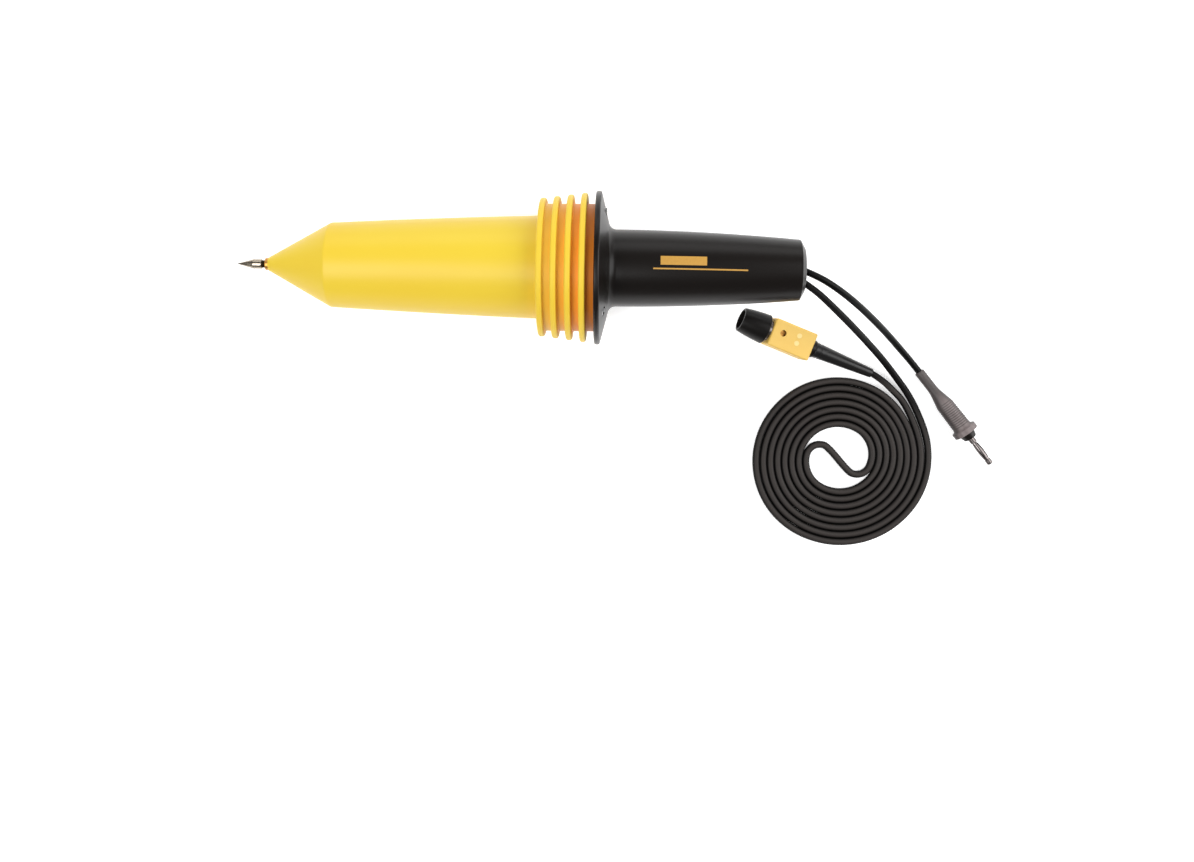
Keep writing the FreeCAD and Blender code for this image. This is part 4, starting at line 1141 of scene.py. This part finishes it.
@dataclass
class ThreadRings:
    """The thread that shows between the needle's shoulder and its socket, as a row of crests."""

    name: str = "needle_thread"
    first_mm: float = 15.05
    pitch_mm: float = 0.45
    count: int = 5
    radius_mm: float = 2.0
    wire_mm: float = 0.22
    sides: int = 48
    wire_sides: int = 10
    # Cut steel thread, brown as painted shade for the thread's undercut, with dull glints on its crests.
    metal: TurnedMetal = TurnedMetal("thread_steel_painted_shade", "#3B2F1C", 0.45)

    def tree(self) -> Tree:
        """Builds the node tree that sets the crests in a row.

        Returns:
            The tree, with a named input for each of its sizes.
        """
        tree, given = open_tree(self.name + "_rings", {
            "Start": "Geometry", "Rings": "Int", "Pitch": "Float", "Radius": "Float", "Wire": "Float",
            "Place": "Vector", "Turn": "Rotation", "Metal": "Material",
        })
        step = add_node(tree, "ShaderNodeCombineXYZ", {"X": given["Pitch"]})
        row = add_node(tree, "GeometryNodeMeshLine", {"Count": given["Rings"], "Offset": step.outputs[0]})
        crest, wire = (
            add_node(tree, "GeometryNodeCurvePrimitiveCircle", {"Resolution": sides, "Radius": given[label]})
            for label, sides in (("Radius", self.sides), ("Wire", self.wire_sides))
        )
        ring = add_node(
            tree, "GeometryNodeCurveToMesh",
            {"Curve": crest.outputs["Curve"], "Profile Curve": wire.outputs["Curve"]},
        )
        placed = add_node(
            tree, "GeometryNodeInstanceOnPoints",
            {"Points": row.outputs["Mesh"], "Instance": ring.outputs["Mesh"],
             "Rotation": (0.0, math.radians(90.0), 0.0)},
        )
        moved = add_node(
            tree, "GeometryNodeTransform",
            {"Geometry": placed.outputs[0], "Translation": given["Place"], "Rotation": given["Turn"]},
        )
        close_tree(tree, moved.outputs[0], given["Metal"])
        return tree

    def build(self) -> bpy.types.Object:
        """Makes the thread as one plain mesh.

        Returns:
            The thread's object.
        """
        place = PLACES[Place.PROBE].matrix()
        material = self.metal.build()
        mesh = grow(self.name, [Vector((0.0, 0.0, 0.0))], self.tree(), {
            "Rings": self.count,
            "Pitch": self.pitch_mm * MM,
            "Radius": self.radius_mm * MM,
            "Wire": self.wire_mm * MM,
            "Place": tuple(place @ Vector((self.first_mm * MM, 0.0, 0.0))),
            "Turn": place.to_euler(),
            "Metal": material,
        })
        shape = bmesh.new()
        shape.from_mesh(mesh)
        bmesh.ops.recalc_face_normals(shape, faces=shape.faces)
        shape.to_mesh(mesh)
        shape.free()
        piece = new_piece(self.name, mesh, material)
        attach(piece, PROBE)
        log.info("%s: %d faces", self.name, len(mesh.polygons))
        return piece


@dataclass
class Wardrobe:
    """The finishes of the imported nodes, by the slots of the record."""

    subparts: list[dict]

    def dress(self) -> None:
        """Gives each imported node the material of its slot."""
        for part in self.subparts:
            node = frame["nodes"][part["node"]]
            node.data.materials.clear()
            node.data.materials.append(finish_of(part["material_slot"]).material())
        log.info("dressed %d nodes", len(self.subparts))


@dataclass
class Softbox:
    """A rectangular soft light, aimed at the object."""

    name: str
    place: Triple
    size: tuple[float, float]
    power: float
    target: Triple = (0.05, -0.05, 0.02)

    def build(self) -> None:
        """Adds the light."""
        lamp = bpy.data.lights.new(self.name, "AREA")
        lamp.shape = "RECTANGLE"
        lamp.size = self.size[0]
        lamp.size_y = self.size[1]
        lamp.energy = self.power
        holder = put(self.name, lamp)
        holder.location = self.place
        aim = Vector(self.target) - Vector(self.place)
        holder.rotation_euler = aim.to_track_quat("-Z", "Y").to_euler()


@dataclass
class Studio:
    """The pale floor, the soft lights and the camera straight above."""

    floor_size: float = 30.0
    floor_drop: float = 0.0002
    floor_colour: str = "#F6F6F6"
    floor_roughness: float = 0.9
    floor_specular: float = 0.2
    floor_glow: float = 0.42
    tooth_mm: float = 0.6
    tooth_height_mm: float = 0.02
    tooth_strength: float = 0.2
    world_colour: str = "#FFFFFF"
    world_strength: float = 0.2
    camera_place: Triple = (-0.0236, -0.0371, 0.781)
    camera_roll: float = 1.02
    lens: float = 38.62
    shift: tuple[float, float] = (0.1040, -0.0845)
    lights: tuple[Softbox, ...] = (
        Softbox("left_box", (-0.82, -0.42, 1.45), (1.0, 1.0), 22.5),
        Softbox("far_box", (0.1, 1.7, 0.75), (3.0, 0.9), 17.0),
        Softbox("near_box", (0.2, -1.8, 0.5), (3.0, 0.8), 0.3),
        Softbox("right_box", (1.2, 0.12, 1.3), (1.3, 1.3), 22.0),
        Softbox("window", (1.7, 0.0, 0.5), (1.0, 0.35), 8.0),
    )

    def build(self) -> None:
        """Builds the studio."""
        self.build_floor()
        self.build_world()
        for light in self.lights:
            light.build()
        self.build_camera()
        bpy.context.scene.view_settings.view_transform = "Standard"
        log.info("studio: %d lights", len(self.lights))

    def build_floor(self) -> None:
        """Lays the floor: white paper, matt, with a barely seen tooth and a glow that whitens shadows."""
        half = self.floor_size / 2
        mesh = bpy.data.meshes.new("floor")
        corners = [(-half, -half), (half, -half), (half, half), (-half, half)]
        mesh.from_pydata([(x, y, -self.floor_drop) for x, y in corners], [], [(0, 1, 2, 3)])
        material, tree, shader = blank_material("white_paper")
        place = add_node(tree, "ShaderNodeTexCoord")
        tooth = add_node(
            tree, "ShaderNodeTexNoise",
            {"Vector": place.outputs["Object"], "Scale": per_metre(self.tooth_mm), "Detail": 2.0},
        )
        bump = add_node(
            tree, "ShaderNodeBump",
            {"Height": tooth.outputs["Fac"], "Strength": self.tooth_strength,
             "Distance": self.tooth_height_mm * MM},
        )
        fill(tree, shader, {
            "Base Color": linear(self.floor_colour), "Roughness": self.floor_roughness,
            "Specular IOR Level": self.floor_specular, "Emission Color": linear("#FFFFFF"),
            "Emission Strength": self.floor_glow, "Normal": bump.outputs["Normal"],
        })
        mesh.materials.append(material)
        floor = put("floor", mesh)

    def build_world(self) -> None:
        """Fills the room with even light."""
        world = bpy.data.worlds.new("room")
        world.use_nodes = True
        fill(
            world.node_tree, world.node_tree.nodes["Background"],
            {"Color": linear(self.world_colour), "Strength": self.world_strength},
        )
        bpy.context.scene.world = world

    def build_camera(self) -> None:
        """Hangs the camera over the bench, looking straight down."""
        camera = bpy.data.cameras.new("camera")
        camera.lens = self.lens
        camera.shift_x, camera.shift_y = self.shift
        camera.clip_start = 0.01
        holder = put("camera", camera)
        holder.location = self.camera_place
        holder.rotation_euler = (0.0, 0.0, math.radians(self.camera_roll))
        bpy.context.scene.camera = holder


CONNECTOR_PARTS = (
    "bnc_shroud", "bnc_coupling_sleeve", "bnc_body", "bnc_nut", "bnc_thrust_washer", "bnc_spring_washer",
    "bnc_insulator", "bnc_centre_pin", "comp_box_base", "comp_box_lid", "box_port_plugs", "comp_box_screws",
    "comp_board", "comp_board_parts", "trimmer_body", "trimmer_rotor", "strain_relief_boot", "boot_nut",
    "box_tail",
)
PLUG_PARTS = (
    "ground_plug_grip", "ground_plug_insulator", "ground_plug_pin", "ground_plug_spring", "plug_lead_end",
)


def flange_seats(
    station: float, radius: float, angles: tuple[float, ...], roll: float,
) -> tuple[Triple, ...]:
    """The screw seats round the handle's flange.

    Args:
        station: how far from the needle's point they lie, in millimetres.
        radius: the screw circle's radius.
        angles: where the screws stand on it, in degrees.
        roll: how far the handle is turned, in degrees.

    Returns:
        The seats in the probe's own coordinates, in millimetres.
    """
    turned = [math.radians(angle - roll) for angle in angles]
    return tuple((station, -radius * math.sin(a), radius * math.cos(a)) for a in turned)


def main() -> None:
    """Builds the scene's pieces in order."""
    logging.basicConfig(level=logging.INFO, format="%(name)s: %(message)s")
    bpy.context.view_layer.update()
    Studio().build()
    Wardrobe(frame["record"]["subparts"]).dress()
    SignalLead(
        "signal_lead", Finish.CABLE_GREY, "connector",
        ("signal_lead_out", "signal_coil", "signal_lead_in"), CONNECTOR_PARTS, "coiled", length=1.9687,
    ).build()
    GroundLead(
        "ground_cord", Finish.CABLE_BLACK, "plug", ("ground_lead",), PLUG_PARTS, "loose", length=0.123,
    ).build()
    HandleLabel().build()
    ScrewSet(
        "flange_screw_set", PROBE, "flange_screws", Finish.SCREW_STEEL, Place.PROBE,
        seats=flange_seats(station=215.1, radius=33.5, angles=(60.0, 180.0, 300.0), roll=11.0),
        facing=(1.0, 0.0, 0.0), head_radius=2.75, head_height=2.2, shank_radius=1.45, reach=12.5,
    ).build()
    ThreadRings().build()


if __name__ == "__main__":
    main()
